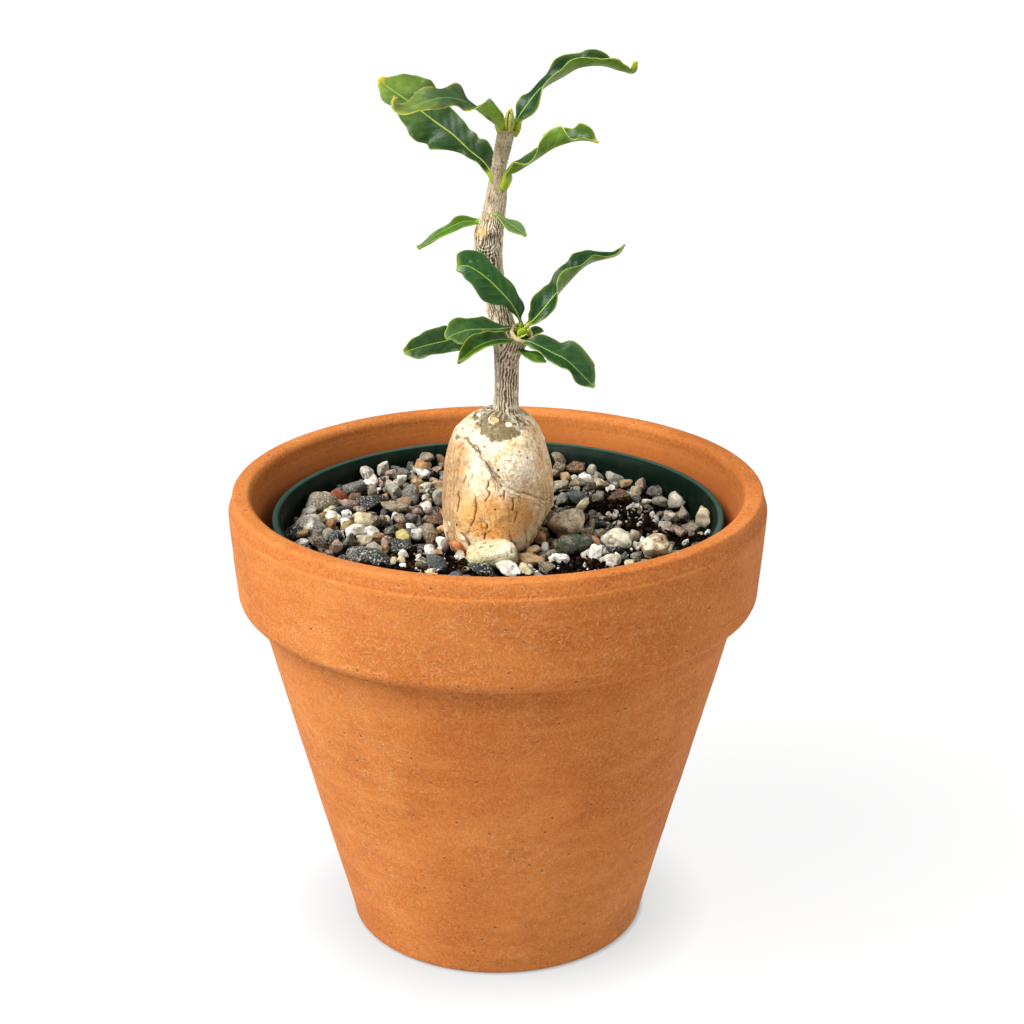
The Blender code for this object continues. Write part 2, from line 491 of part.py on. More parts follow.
def gravel_places():
    """Seeded throws of stones over the mix, each kept if it is clear enough of those before it."""
    rng = random.Random(GRAVEL_SEED)
    reach = NURSERY_RIM_RADIUS - NURSERY_LIP - NURSERY_WALL - NURSERY_STEP - 1.2 * MM
    taken = [(v["middle"][0] * MM, v["middle"][1] * MM, 0.8 * v["half"][0] * MM) for v in STONES_MM.values()]
    taken.append((0.0, 0.0, 13.0 * MM))
    kept = []
    for _ in range(GRAVEL_TRIES):
        radius = rng.uniform(*GRAVEL_RADIUS)
        distance = math.sqrt(rng.random()) * (reach - radius)
        angle = rng.uniform(0, math.tau)
        x, y = distance * math.cos(angle), distance * math.sin(angle)
        if all(math.hypot(x - a, y - b) > 0.86 * (radius + c) for a, b, c in taken):
            taken.append((x, y, radius))
            kept.append((x, y, radius, rng.uniform(0, 360), rng.uniform(0.65, 0.95)))
        if len(kept) == GRAVEL_COUNT:
            break
    return kept


def make_potting_mix(collection, gravel, rooms):
    """The mix fills the nursery pot; its gravel is sunk into it and fused, and the root and large stones have room."""
    _, inner = nursery_walls()
    wall = [(r - GAP, z) for r, z in inner if z < MIX_TOP]
    top = inner[0][1]
    rim = np.interp(MIX_TOP, [inner[1][1], top], [inner[1][0], inner[0][0]]) - GAP
    profile = [(0.0, MIX_TOP + MIX_DOME), (0.5 * rim, MIX_TOP + 0.8 * MIX_DOME), (rim, MIX_TOP)]
    profile += wall[:-1] + [(wall[-1][0], wall[-1][1] + GAP), (0.0, wall[-1][1] + GAP)]
    obj = turned("potting_mix", profile, NURSERY_STEPS, collection, new_material("mix"), closed=False)
    for index, (x, y, radius, turn, flat) in enumerate(gravel_places()):
        bm = bmesh.new()
        bmesh.ops.create_icosphere(bm, subdivisions=1, radius=radius)
        bmesh.ops.scale(bm, vec=(1.0, 0.5 + 0.5 * flat, flat), verts=bm.verts)
        bmesh.ops.rotate(
            bm, verts=bm.verts, cent=(0, 0, 0),
            matrix=Matrix.Rotation(math.radians(turn), 3, "Z") @ Matrix.Rotation(math.radians(turn * 0.2), 3, "X"))
        mesh = bpy.data.meshes.new(f"gravel_{index}")
        bm.to_mesh(mesh)
        bm.free()
        stone = add_object(mesh.name, mesh, gravel)
        stone.location = (x, y, MIX_TOP + MIX_DOME * 0.6 + 0.25 * radius * flat)
    add_boolean(obj, "UNION", gravel, "MANIFOLD")
    apply_modifiers(obj)
    for stone in list(gravel.objects):
        bpy.data.objects.remove(stone)
    mark_as_helper(add_object("caudex_room", root_mesh("caudex_room", GAP), rooms))
    add_boolean(obj, "DIFFERENCE", rooms, "MANIFOLD")
    return obj


def make_bud(name, bud, collection, material, rooms):
    """A pointed bud of two clasped young leaves: a stretched sphere with two grooves."""
    bm = bmesh.new()
    bmesh.ops.create_uvsphere(bm, u_segments=12, v_segments=8, radius=1.0)
    radius, height = bud["radius"] * MM, bud["height"] * MM
    for vert in bm.verts:
        x, y, z = vert.co
        rise = (z + 1) / 2
        grooves = 1 + 0.14 * math.cos(2 * math.atan2(y, x))
        width = radius * grooves * (1 - 0.45 * rise**2)
        vert.co = (
            x * width + bud["lean"][0] * rise**2 * height,
            y * width - bud["lean"][1] * rise * height,
            rise * height,
        )
    bmesh.ops.triangulate(bm, faces=bm.faces)
    mesh = bpy.data.meshes.new(name)
    bm.to_mesh(mesh)
    bm.free()
    obj = add_object(name, mesh, collection, material)
    obj.location = Vector(bud["foot"]) * MM
    add_boolean(obj, "DIFFERENCE", rooms)
    return obj


def unit(vectors):
    return vectors / np.linalg.norm(vectors, axis=-1, keepdims=True)


def smooth_table(values, at):
    """Catmull-Rom value of a table of even steps, at shares of its length from 0 to 1."""
    values = np.asarray(values, float)
    steps = len(values) - 1
    ends = np.concatenate([[2 * values[0] - values[1]], values, [2 * values[-1] - values[-2]]])
    at = np.clip(np.asarray(at, float), 0.0, 1.0) * steps
    i = np.clip(at.astype(int), 0, steps - 1)
    t = at - i
    a, b, c, d = (ends[i + k] for k in range(4))
    return 0.5 * (2 * b + (c - a) * t + (2 * a - 5 * b + 4 * c - d) * t**2 + (3 * b - a - 3 * c + d) * t**3)


def leaf_points(leaf, u, v):
    """Points of the blade's middle surface in mm, for u along the spine from 0 to 1 and v across it from -1 to 1.

    The spine carries a frame whose third direction is the way that the upper side looks. A point lies at |v| times
    its side's half width from the spine, turned up by the side's lift, less near the midrib than at the margin."""
    samples = 160
    spine = smooth_line(leaf["spine"], samples)
    where = np.linspace(0, 1, samples)
    along = unit(np.gradient(spine, axis=0))
    face = np.stack([smooth_table([f[k] for f in leaf["face"]], where) for k in range(3)], axis=1)
    face = unit(face - (face * along).sum(1, keepdims=True) * along)
    side = np.cross(along, face)

    def at(values):
        return np.stack([np.interp(u, where, values[:, k]) for k in range(3)], axis=-1)

    half = np.where(v < 0, smooth_table(leaf["left"], u), smooth_table(leaf["right"], u))
    half = np.maximum(half, TIP_HALF_MM)
    lift = np.where(v < 0, smooth_table(leaf["lift_left"], u), smooth_table(leaf["lift_right"], u))
    lift = np.radians(lift) * np.sqrt(np.abs(v))
    out = v * half
    return at(spine) + (out * np.cos(lift))[..., None] * at(side) + (np.abs(out) * np.sin(lift))[..., None] * at(face)


def make_leaf(name, leaf, collection, material, rooms):
    """A grid bent to the leaf's surface, split into triangles, and thickened: more in the stalk and midrib."""
    small = len(leaf["left"]) < 8
    rows = SMALL_LEAF_ROWS if small else LEAF_ROWS
    columns = SMALL_LEAF_COLUMNS if small else LEAF_COLUMNS
    bm = bmesh.new()
    bmesh.ops.create_grid(bm, x_segments=columns, y_segments=rows, size=1.0)
    flat = np.array([vert.co for vert in bm.verts])
    u, v = (flat[:, 1] + 1) / 2, flat[:, 0]
    for vert, point in zip(bm.verts, leaf_points(leaf, u, v) * MM):
        vert.co = point
    bmesh.ops.triangulate(bm, faces=bm.faces, quad_method="FIXED")
    mesh = bpy.data.meshes.new(name)
    bm.to_mesh(mesh)
    bm.free()
    obj = add_object(name, mesh, collection, material)
    thick = obj.vertex_groups.new(name="thick")
    share = BLADE_THICKNESS / STALK_THICKNESS
    stalk = np.clip((STALK_SHARE * 1.5 - u) / STALK_SHARE, 0, 1)
    rib = 0.3 * np.exp(-((v * 3.5) ** 2)) * (1 - u)
    for index, weight in enumerate(np.clip(share + (1 - share) * np.maximum(stalk, rib), 0, 1)):
        thick.add([index], float(weight), "REPLACE")
    solid = obj.modifiers.new("Thickness", "SOLIDIFY")
    solid.thickness = STALK_THICKNESS
    solid.offset = 0.0
    solid.vertex_group = "thick"
    add_boolean(obj, "DIFFERENCE", rooms)
    return obj


def main():
    clear_scene()
    plant = new_collection("potted_fockea")
    drain_cutters = new_collection("drain_cutters")
    wood_rooms = new_collection("wood_rooms")
    mix_rooms = new_collection("mix_rooms")
    joined = new_collection("joined")
    make_clay_pot(plant)
    make_nursery_pot(plant, drain_cutters)
    make_stem(plant, joined, wood_rooms)
    make_root(plant, joined, wood_rooms)
    make_stones(plant, mix_rooms)
    make_potting_mix(plant, joined, mix_rooms)
    leaf_green, young_green = new_material("leaf"), new_material("young_leaf")
    for name, bud in BUDS_MM.items():
        make_bud(name, bud, plant, young_green, wood_rooms)
    for name, leaf in LEAVES_MM.items():
        make_leaf(name, leaf, plant, leaf_green, wood_rooms)


main()
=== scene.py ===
# A fockea with a swollen root, in a green nursery pot in a terracotta pot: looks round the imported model
import math

import bmesh
import bpy
import numpy as np
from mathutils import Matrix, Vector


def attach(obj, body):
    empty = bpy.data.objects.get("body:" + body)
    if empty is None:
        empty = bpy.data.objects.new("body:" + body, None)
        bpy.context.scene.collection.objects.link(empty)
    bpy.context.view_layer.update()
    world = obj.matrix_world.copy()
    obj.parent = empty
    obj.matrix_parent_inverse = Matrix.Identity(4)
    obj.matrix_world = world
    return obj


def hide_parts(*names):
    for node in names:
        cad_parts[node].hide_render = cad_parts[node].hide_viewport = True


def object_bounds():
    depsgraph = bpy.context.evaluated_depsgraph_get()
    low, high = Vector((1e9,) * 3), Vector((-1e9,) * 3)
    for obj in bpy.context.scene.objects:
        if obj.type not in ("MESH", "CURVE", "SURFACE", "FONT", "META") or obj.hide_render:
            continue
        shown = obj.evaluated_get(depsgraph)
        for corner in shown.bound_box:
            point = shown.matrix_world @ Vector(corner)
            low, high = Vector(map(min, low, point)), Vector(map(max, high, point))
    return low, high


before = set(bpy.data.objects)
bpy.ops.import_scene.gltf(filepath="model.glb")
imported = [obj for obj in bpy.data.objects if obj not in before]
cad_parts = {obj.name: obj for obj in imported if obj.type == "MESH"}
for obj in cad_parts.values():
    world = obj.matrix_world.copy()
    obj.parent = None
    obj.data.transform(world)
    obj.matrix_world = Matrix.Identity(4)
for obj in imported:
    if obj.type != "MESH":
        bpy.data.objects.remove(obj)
cadBox = [list(corner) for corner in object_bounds()]
mm = 0.001


# Screen levels from 0 to 255 as a linear colour
def paint(*levels):
    share = np.array(levels, float) / 255
    return np.where(share <= 0.04045, share / 12.92, ((share + 0.055) / 1.055) ** 2.4)


def paints(**tones):
    return {name: paint(*levels) for name, levels in tones.items()}


# A smooth step from 0 at low to 1 at high
def ease(low, high, value):
    share = np.clip((value - low) / (high - low), 0, 1)
    return share * share * (3 - 2 * share)


# A bell: 1 where the distance is 0, falling off over the width
def bell(distance, width, power=2):
    return np.exp(-(distance / width) ** power)


# Colours a and b mixed by a share for each point
def mixTint(a, b, share):
    return a + (b - a) * np.clip(share, 0, 1)[..., None]


def unit(vectors):
    return vectors / np.maximum(np.linalg.norm(vectors, axis=-1, keepdims=True), 1e-12)


# Distance of each point from a place, in a space that is stretched along its axes
def farFrom(points, place, stretch=(1, 1, 1)):
    return np.linalg.norm((points - place) / stretch, axis=-1)


# Smooth noise from -1 to 1: a fixed random value at each corner of cubes of one size, blended inside the
# cube. Each octave more is half as strong and half as large.
def noise(points, size, seed, octaves=1):
    total = 0
    for octave in range(octaves):
        cell = np.asarray(points, float) / (size / 2**octave)
        low = np.floor(cell).astype(np.int64)
        part = cell - low
        part = part * part * (3 - 2 * part)
        layer = 0
        for corner in range(8):
            step = np.array([corner & 1, corner >> 1 & 1, corner >> 2 & 1])
            key = (((low + step) * np.array([73856093, 19349663, 83492791])).sum(-1) +
                   (seed + 7 * octave) * 26544357)
            key = (key ^ (key >> 13)) * 1274126177 & 0xFFFFFFFF
            value = (((key ^ (key >> 15)) * 2246822519 >> 8) & 0xFFFF) / 32767.5 - 1
            layer = layer + value * np.where(step == 1, part, 1 - part).prod(-1)
        total = total + layer / 2**octave
    return total / (2 - 2.0 ** (1 - octaves))


# Catmull-Rom value at the share t of the way between the second and the third of four neighbours
def between(ends, first, t):
    a, b, c, d = (ends[first + k] for k in range(4))
    return 0.5 * (2 * b + (c - a) * t + (2 * a - 5 * b + 4 * c - d) * t**2 + (3 * b - a - 3 * c + d) * t**3)


# Smooth curve through the points, sampled evenly by the spacing of the points
def smoothLine(points, samples):
    points = np.asarray(points, float)
    ends = np.vstack([2 * points[0] - points[1], points, 2 * points[-1] - points[-2]])
    steps = np.linalg.norm(np.diff(points[:, :3], axis=0), axis=1)
    knots = np.concatenate([[0.0], np.cumsum(steps)])
    at = np.linspace(0.0, knots[-1], samples)
    i = np.clip(np.searchsorted(knots, at, side="right") - 1, 0, len(points) - 2)
    return between(ends, i, ((at - knots[i]) / steps[i])[:, None])


# Smooth value of an evenly spaced table, at shares of its length from 0 to 1
def smoothTable(values, at):
    values = np.asarray(values, float)
    steps = len(values) - 1
    ends = np.concatenate([[2 * values[0] - values[1]], values, [2 * values[-1] - values[-2]]])
    at = np.clip(np.asarray(at, float), 0.0, 1.0) * steps
    i = np.clip(at.astype(int), 0, steps - 1)
    return between(ends, i, at - i)


# Distance of each point from a line of straight pieces
def lineDistance(points, line):
    best = np.full(points.shape[:-1], 1e9)
    for start, end in zip(np.asarray(line[:-1], float), np.asarray(line[1:], float)):
        run = end - start
        share = np.clip(((points - start) @ run) / (run @ run), 0, 1)
        best = np.minimum(best, np.linalg.norm(points - start - share[..., None] * run, axis=-1))
    return best


# Points of an ellipse's arc in the r, z plane, with the angles in degrees
def arc(centre, radii, start, end, steps):
    angles = np.radians(np.linspace(start, end, steps + 1))
    return [(centre[0] + radii[0] * math.cos(a), centre[1] + radii[1] * math.sin(a)) for a in angles]


# A line of straight pieces with points added so that no step is longer than the one given
def fineLine(points, step):
    fine = []
    for a, b in zip(points[:-1], points[1:]):
        count = max(1, math.ceil(math.dist(a, b) / step))
        fine += [tuple(np.add(a, np.subtract(b, a) * k / count)) for k in range(count)]
    return np.array(fine + [points[-1]])


def evenTurn(count):
    return np.arange(count) * 2 * np.pi / count


# An outline of (r, z) turned round the axis: each point lies at r cos a, r sin a, z
def turned(line, around):
    angle = evenTurn(around)
    return np.stack([line[:, :1] * np.cos(angle), line[:, :1] * np.sin(angle), line[:, 1:] + 0 * angle], -1)


# Four-cornered faces of a grid of points whose columns close; the rows close too where that is asked for
def gridFaces(rows, columns, wrapRows=False):
    i, j = (line.ravel() for line in np.meshgrid(
        np.arange(rows if wrapRows else rows - 1), np.arange(columns), indexing="ij"))
    down, right = (i + 1) % rows, (j + 1) % columns
    return np.stack([i * columns + j, down * columns + j, down * columns + right, i * columns + right], 1)


# Three-cornered faces from one point to each step of a closed row
def fanFaces(pole, start, columns, way=1):
    j = np.arange(columns)
    return np.stack([np.full(columns, pole), start + j, start + (j + 1) % columns], 1)[:, ::way]


# A closed shell of rings with a point at each end, as points, face lists and tints
def cappedRings(rings, tint, startPole=None, endPole=None, endTint=None):
    rows, columns = rings.shape[:2]
    count = rows * columns
    points = np.vstack([rings.reshape(-1, 3), rings[0].mean(0) if startPole is None else startPole,
                        rings[-1].mean(0) if endPole is None else endPole])
    tint = np.vstack([tint.reshape(-1, 3), tint[0].mean(0), tint[-1].mean(0) if endTint is None else endTint])
    return points, [gridFaces(rows, columns), fanFaces(count, 0, columns),
                    fanFaces(count + 1, (rows - 1) * columns, columns, -1)], tint


# Space that the faces enclose, above nothing when they look outwards
def enclosed(points, faceSets):
    total = 0.0
    for faces in faceSets:
        corner = points[np.asarray(faces)]
        for k in range(1, corner.shape[1] - 1):
            total += np.einsum("ij,ij->", corner[:, 0], np.cross(corner[:, k], corner[:, k + 1]))
    return total


def addObject(name, data):
    made = bpy.data.objects.new(name, data)
    bpy.context.scene.collection.objects.link(made)
    return made


# Puts closed shells, each as points in mm, face lists and tints, into an object that rides on the part. Edges
# that turn by more than crisp degrees stay crisp.
def addPiece(name, shells, surface, replaced=(), shares=None, crisp=0):
    faces, start = [], 0
    for points, faceSets, _ in shells:
        way = -1 if enclosed(points, faceSets) < 0 else 1
        faces += [face for part in faceSets for face in (np.asarray(part)[:, ::way] + start).tolist()]
        start += len(points)
    mesh = bpy.data.meshes.new(name)
    mesh.from_pydata((np.vstack([points for points, _, _ in shells]) * mm).tolist(), [], faces)
    if shells[0][2] is not None:
        tint = np.clip(np.vstack([tint for _, _, tint in shells]), 0, 1)
        layer = mesh.color_attributes.new("tint", "FLOAT_COLOR", "POINT")
        layer.data.foreach_set("color", np.c_[tint, np.ones(len(tint))].astype(np.float32).ravel())
    for label, values in (shares or {}).items():
        layer = mesh.attributes.new(label, "FLOAT", "POINT")
        layer.data.foreach_set("value", np.asarray(values, np.float32))
    mesh.materials.append(surface.material)
    mesh.shade_smooth()
    if crisp:
        mesh.set_sharp_from_angle(angle=math.radians(crisp))
    piece = addObject(name, mesh)
    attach(piece, "root")
    if replaced:
        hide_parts(*replaced)
    print(name, len(mesh.polygons), "faces")
    return piece


# A number in a material's nodes; sums, differences and products of such numbers add the nodes for them
class Number:
    def __init__(self, surface, socket):
        self.surface, self.socket = surface, socket

    def __add__(self, other):
        return self.surface.math("ADD", self, other)

    def __sub__(self, other):
        return self.surface.math("SUBTRACT", self, other)

    def __rsub__(self, other):
        return self.surface.math("SUBTRACT", other, self)

    def __mul__(self, other):
        return self.surface.math("MULTIPLY", self, other)

    # How far the number is from another, without a sign
    def off(self, other):
        return self.surface.math("ABSOLUTE", self - other)

    # The number's way from low to high as a way from start to end
    def span(self, low, high, start=0.0, end=1.0):
        return Number(self.surface, self.surface.node("MapRange", {
            "Value": self, "From Min": low, "From Max": high, "To Min": start, "To Max": end})[0])


# A material and the colour that its nodes have built up so far
class Surface:
    def __init__(self, name, roughness, specular):
        self.material = bpy.data.materials.new(name)
        self.material.use_nodes = True
        self.shader = self.material.node_tree.nodes["Principled BSDF"].inputs
        self.feed(self.shader["Roughness"], roughness)
        self.feed(self.shader["Specular IOR Level"], specular)
        self.colour = None

    def feed(self, socket, value):
        if isinstance(value, Number):
            value = value.socket
        if isinstance(value, bpy.types.NodeSocket):
            self.material.node_tree.links.new(value, socket)
        else:
            socket.default_value = (*value, 1.0) if socket.type == "RGBA" else value

    def node(self, kind, sockets, **settings):
        node = self.material.node_tree.nodes.new("ShaderNode" + kind)
        for label, value in settings.items():
            setattr(node, label, value)
        for label, value in sockets.items():
            self.feed(node.inputs[label], value)
        return node.outputs

    # The object's own coordinates in metres, stretched
    def place(self, scale=(1, 1, 1)):
        return self.node("Mapping", {"Vector": self.node("TexCoord", {})["Object"], "Scale": scale})[0]

    # Distance from the axis, and height
    def reachAndLevel(self):
        x, y, z = (Number(self, part) for part in self.node("SeparateXYZ", {0: self.place()}))
        return self.math("SQRT", x * x + y * y), z

    def noise(self, perMetre, detail=2.0, distortion=0.0, scale=(1, 1, 1)):
        return Number(self, self.node("TexNoise", {
            "Vector": self.place(scale), "Scale": perMetre, "Detail": detail, "Distortion": distortion})[0])

    def math(self, operation, a, b=0.0):
        return Number(self, self.node("Math", {0: a, 1: b}, operation=operation)[0])

    def mixed(self, share, a, b, way="MIX"):
        return self.node("Mix", {0: share, 6: a, 7: b}, data_type="RGBA", blend_type=way)[2]

    def cover(self, tone, share):
        self.colour = self.mixed(share, self.colour, tone)

    # Multiplies the colour by something between two tones
    def shade(self, share, dark, light):
        self.colour = self.mixed(1.0, self.colour, self.mixed(share, dark, light), "MULTIPLY")

    # Starts from the tint that each point of the mesh carries
    def useTint(self):
        self.colour = self.node("Attribute", {}, attribute_name="tint")["Color"]

    def finish(self, height, distance, strength=1.0):
        self.feed(self.shader["Base Color"], self.colour)
        self.feed(self.shader["Normal"], self.node("Bump", {
            "Height": height, "Distance": distance, "Strength": strength})[0])


# The camera that the photograph fits: place in mm, tilt in degrees
view = dict(place=(3.45, -486.3, 286.7), downTilt=20.08, lens=73.24, sensor=36, farthest=200)
camera = addObject("camera", bpy.data.cameras.new("camera"))
camera.data.lens, camera.data.sensor_width, camera.data.clip_end = (
    view["lens"], view["sensor"], view["farthest"])
camera.location = [value * mm for value in view["place"]]
camera.rotation_euler = (math.radians(90 - view["downTilt"]), 0, 0)
bpy.context.scene.camera = camera

# A large key light from the left, weak ones from the right and from above, and a floor that glows like a
# light table. The glow fades towards the pot's foot as a painted contact shadow, standing in for the light
# that the pot's overhang keeps from there.
studio = dict(
    skyLevel=0.14, floorHalf=40, floorColour=(0.08, 0.076, 0.072), floorGlow=0.905, underFootShadow=0.1,
    besideFootShadow=0.75,
    lights={"key": dict(level=5.2, angle=40, turn=-63, down=43),
            "fill": dict(level=0.9, angle=60, turn=95, down=68),
            "top": dict(level=0.75, angle=70, turn=-6, down=25)})
bpy.context.scene.view_settings.view_transform = "Standard"
bpy.context.scene.view_settings.look = "None"
world = bpy.data.worlds.new("studio")
world.use_nodes = True
world.node_tree.nodes["Background"].inputs["Color"].default_value = (1, 1, 1, 1)
world.node_tree.nodes["Background"].inputs["Strength"].default_value = studio["skyLevel"]
bpy.context.scene.world = world
for name, light in studio["lights"].items():
    lamp = addObject(name, bpy.data.lights.new(name, "SUN"))
    lamp.data.energy, lamp.data.angle = light["level"], math.radians(light["angle"])
    lamp.rotation_euler = (math.radians(light["down"]), 0, math.radians(light["turn"]))

floorMesh = bpy.data.meshes.new("floor")
floorMesh.from_pydata([(x * studio["floorHalf"], y * studio["floorHalf"], 0) for x, y in (
    (-1, -1), (1, -1), (1, 1), (-1, 1))], [], [(0, 1, 2, 3)])
floor = addObject("floor", floorMesh)
floorSurface = Surface("floor", 0.9, 0.2)
floorSurface.feed(floorSurface.shader["Base Color"], studio["floorColour"])
floorSurface.feed(floorSurface.shader["Emission Color"], (1, 1, 1))
floorReach, _ = floorSurface.reachAndLevel()
# painted contact shadow: the floor's glow drops under and beside the pot's foot
floorSurface.feed(
    floorSurface.shader["Emission Strength"], floorReach.span(0.0360, 0.0385, studio["underFootShadow"]) *
    floorReach.span(0.037, 0.056, studio["besideFootShadow"] * studio["floorGlow"], studio["floorGlow"]))
floorMesh.materials.append(floorSurface.material)
print("camera, light and floor")


clayPot = dict(
    height=116.5, rimRadius=66.5, rimFootRadius=65.0, rimFootZ=88.1, shoulderRadius=60.2, footRadius=37.4,
    wall=7.0, floor=8.0, drain=6.0, around=256, step=1.5, offCentre=0.35,
    crest=((0.92, 1.2), (0.78, 1.9), (0.52, 2.7), (0.34, 3.4), (0.34, 3.8), (0.08, 4.0), (0.0, 4.4),
           (0.06, 6.6)),
    # tone, cells in a metre, size and rarity of each kind of specks, how far they cover, and 1 for up or -1
    # for down; the second kind is the pale lower edge of each pit, a painted highlight: the same cells lower
    # down, by the last value in metres
    specks=(("speck", 430, 0.1, 0.45, 0.65, 1, 0.0), ("speck", 260, 0.12, 0.25, 0.65, 1, 0.0002),
            ("pit", 260, 0.13, 0.25, 0.9, -1, 0.0)),
    tones=paints(light=(205, 128, 62), middle=(188, 107, 44), dark=(162, 84, 29), speck=(238, 184, 126),
                 pit=(116, 60, 30)))


def potInnerRadius(z):  # the inner wall is a cone parallel to the outer wall
    slope = (clayPot["shoulderRadius"] - clayPot["footRadius"]) / clayPot["rimFootZ"]
    return clayPot["footRadius"] - clayPot["wall"] + slope * z


# Outline of the wall as (r, z), from the mouth over the crest, down outside, through the drain and up inside
def clayProfile():
    pot = clayPot
    top, foot, drain = pot["height"], pot["footRadius"], pot["drain"]
    line = arc((potInnerRadius(top) + 1.9, top - 2.4), (1.9, 2.4), 180, 90, 7)
    line += arc((pot["rimRadius"] - 1.75, top - 0.75), (0.75, 0.75), 90, 12, 5)
    line += [(pot["rimRadius"] - inward, top - drop) for inward, drop in pot["crest"]]
    line += arc((pot["rimFootRadius"] - 3.0, pot["rimFootZ"] + 3.5), (3.0, 3.0), 0, -80, 9)
    line += [(pot["shoulderRadius"] + 0.25, pot["rimFootZ"] + 0.1),
             (pot["shoulderRadius"], pot["rimFootZ"] - 0.25)]
    line += [(foot + 0.2 + 0.2588 * z, z) for z in (64.0, 36.0)]  # a little fuller than a straight cone
    line += arc((foot - 0.6, 1.1), (1.1, 1.1), -15, -90, 6)
    line += [(drain + 0.5, 0.0), (drain, 0.8), (drain, pot["floor"])]
    line += arc((potInnerRadius(pot["floor"]) - 3.8, pot["floor"] + 5.0), (5.0, 5.0), -90, -14, 6)
    return fineLine(line + line[:1], pot["step"])[:-1]


def makeClaySurface():
    surface = Surface("terracotta", 0.88, 0.3)
    tones = clayPot["tones"]
    reach, level = surface.reachAndLevel()
    bands, clouds = surface.noise(38, 5, scale=(1, 1, 7)), surface.noise(34, 5, 0.6)
    streaks, wheelLines = surface.noise(95, 5, 0.8, (1, 1, 3)), surface.noise(260, 4, 0.2, (0.12, 0.12, 3))
    grain, sand = surface.noise(1500, 3), surface.noise(620, 3)
    # painted shade: the band just under the top of the crest faces a little downwards and is painted darker
    crest = level.span(0.1126, 0.1130) * level.span(0.1154, 0.1148)
    inside = reach.span(0.0616, 0.0604) * level.span(0.0885, 0.0895)
    surface.colour = tones["dark"]
    for tone, share in (
            ("light", clouds.span(0.36, 0.66)), ("middle", 0.45), ("light", bands.span(0.48, 0.72, 0, 0.5)),
            ("dark", streaks.span(0.5, 0.7, 0, 0.4)), ("dark", crest * clouds.span(0.35, 0.6, 0.2, 0.6)),
            ("light", grain.span(0.38, 0.66, 0, 0.6)), ("dark", sand.span(0.5, 0.7, 0, 0.3))):
        surface.cover(tones[tone], share)
    surface.shade(surface.noise(2600, 2).span(0.36, 0.64), (0.89, 0.88, 0.87), (1.13, 1.13, 1.13))
    # the inner wall is smoother, with fine wheel lines, and painted shade darkens it low down, above the
    # nursery pot's rim
    surface.cover(tones["light"], inside * wheelLines.span(0.45, 0.7, 0, 0.5))
    surface.cover(tones["dark"], inside * level.span(0.1142, 0.1065, 0.1, 0.95))
    # short curled scratches where two slow noises cross their middle value
    outside = 1.0 - inside * 0.8
    where = surface.noise(420, 0).span(0.42, 0.56) * surface.noise(40, 3).span(0.42, 0.66, 0.05, 1.0)
    scratch = surface.noise(760, 1, 0.8).off(0.5).span(0.07, 0.01) * where * outside
    surface.cover(tones["speck"], scratch * 0.27)
    height = scratch * 1.1
    # the pale lower edge of each pit is a painted highlight
    for tone, perMetre, size, rare, most, way, lower in clayPot["specks"]:
        place = surface.node("VectorMath", {0: surface.place(), 1: (0.0, 0.0, lower)}, operation="ADD")[0]
        cells = surface.node("TexVoronoi", {"Vector": place, "Scale": perMetre})
        chosen = Number(surface, surface.node("SeparateColor", {0: cells["Color"]})[0]).span(
            rare, rare + 0.02)
        spot = Number(surface, cells["Distance"]).span(size, size * 0.45) * chosen * outside
        surface.cover(tones[tone], spot * most)
        height = height + spot * way
    height = (height * 0.6 + grain * 0.45 - sand * 0.36) * (1.0 - inside * 0.7)
    surface.finish(height + surface.noise(90, 3, scale=(0.3, 0.3, 6)) * 0.9, 0.00022, 0.7)
    return surface


# The outline turned round the axis; slow waves and wheel marks move the wall by less than a tenth of a mm
def makeClayPot():
    line = clayProfile()
    points = turned(line, clayPot["around"])
    r, z = line[:, :1], line[:, 1:]
    wheel = noise(points * (0.05, 0.05, 1.0), 1.3, 3) * 0.05 + noise(points, 9.0, 5, 3) * 0.09 - 0.13
    wheel *= ease(0.3, 3.0, z) * ease(0.0, 4.0, r - 10)
    points[..., :2] *= (1 + wheel / np.maximum(r, 10))[..., None]
    points[..., 0] -= clayPot["offCentre"] * ease(88, 20, z)  # as it was thrown
    addPiece("clay_pot_turned", [(points.reshape(-1, 3), [gridFaces(*points.shape[:2], True)], None)],
             makeClaySurface(), ["clay_pot"])


makeClayPot()


nurseryPot = dict(
    top=109.6, rimRadius=55.9, lip=1.0, lipDepth=2.0, height=80.0, collar=13.0, step=0.8, wall=1.2, floor=1.5,
    around=180, drains=6, drainRadius=4.0, drainRing=27.0, drainTurn=0.13,
    tones=paints(wall=(6, 25, 15), edge=(54, 80, 70), dust=(150, 140, 118)))


# Outer and inner wall as (r, z), both from the top down
def nurseryWalls():
    pot = nurseryPot
    baseZ = pot["top"] - pot["height"]
    baseRadius = potInnerRadius(baseZ) - 0.36
    collarZ, collarRadius = pot["top"] - pot["collar"], pot["rimRadius"] - pot["lip"]
    outer = [(collarRadius, pot["top"] - pot["lipDepth"]), (collarRadius - 0.5, collarZ),
             (collarRadius - 0.5 - pot["step"], collarZ - pot["step"]), (baseRadius, baseZ)]
    inner = [(pot["rimRadius"] - pot["lip"] - pot["wall"], pot["top"] - 0.4)]
    inner += [(r - pot["wall"], z) for r, z in outer[1:3]] + [(baseRadius - 1.0, baseZ + pot["floor"])]
    return outer, inner


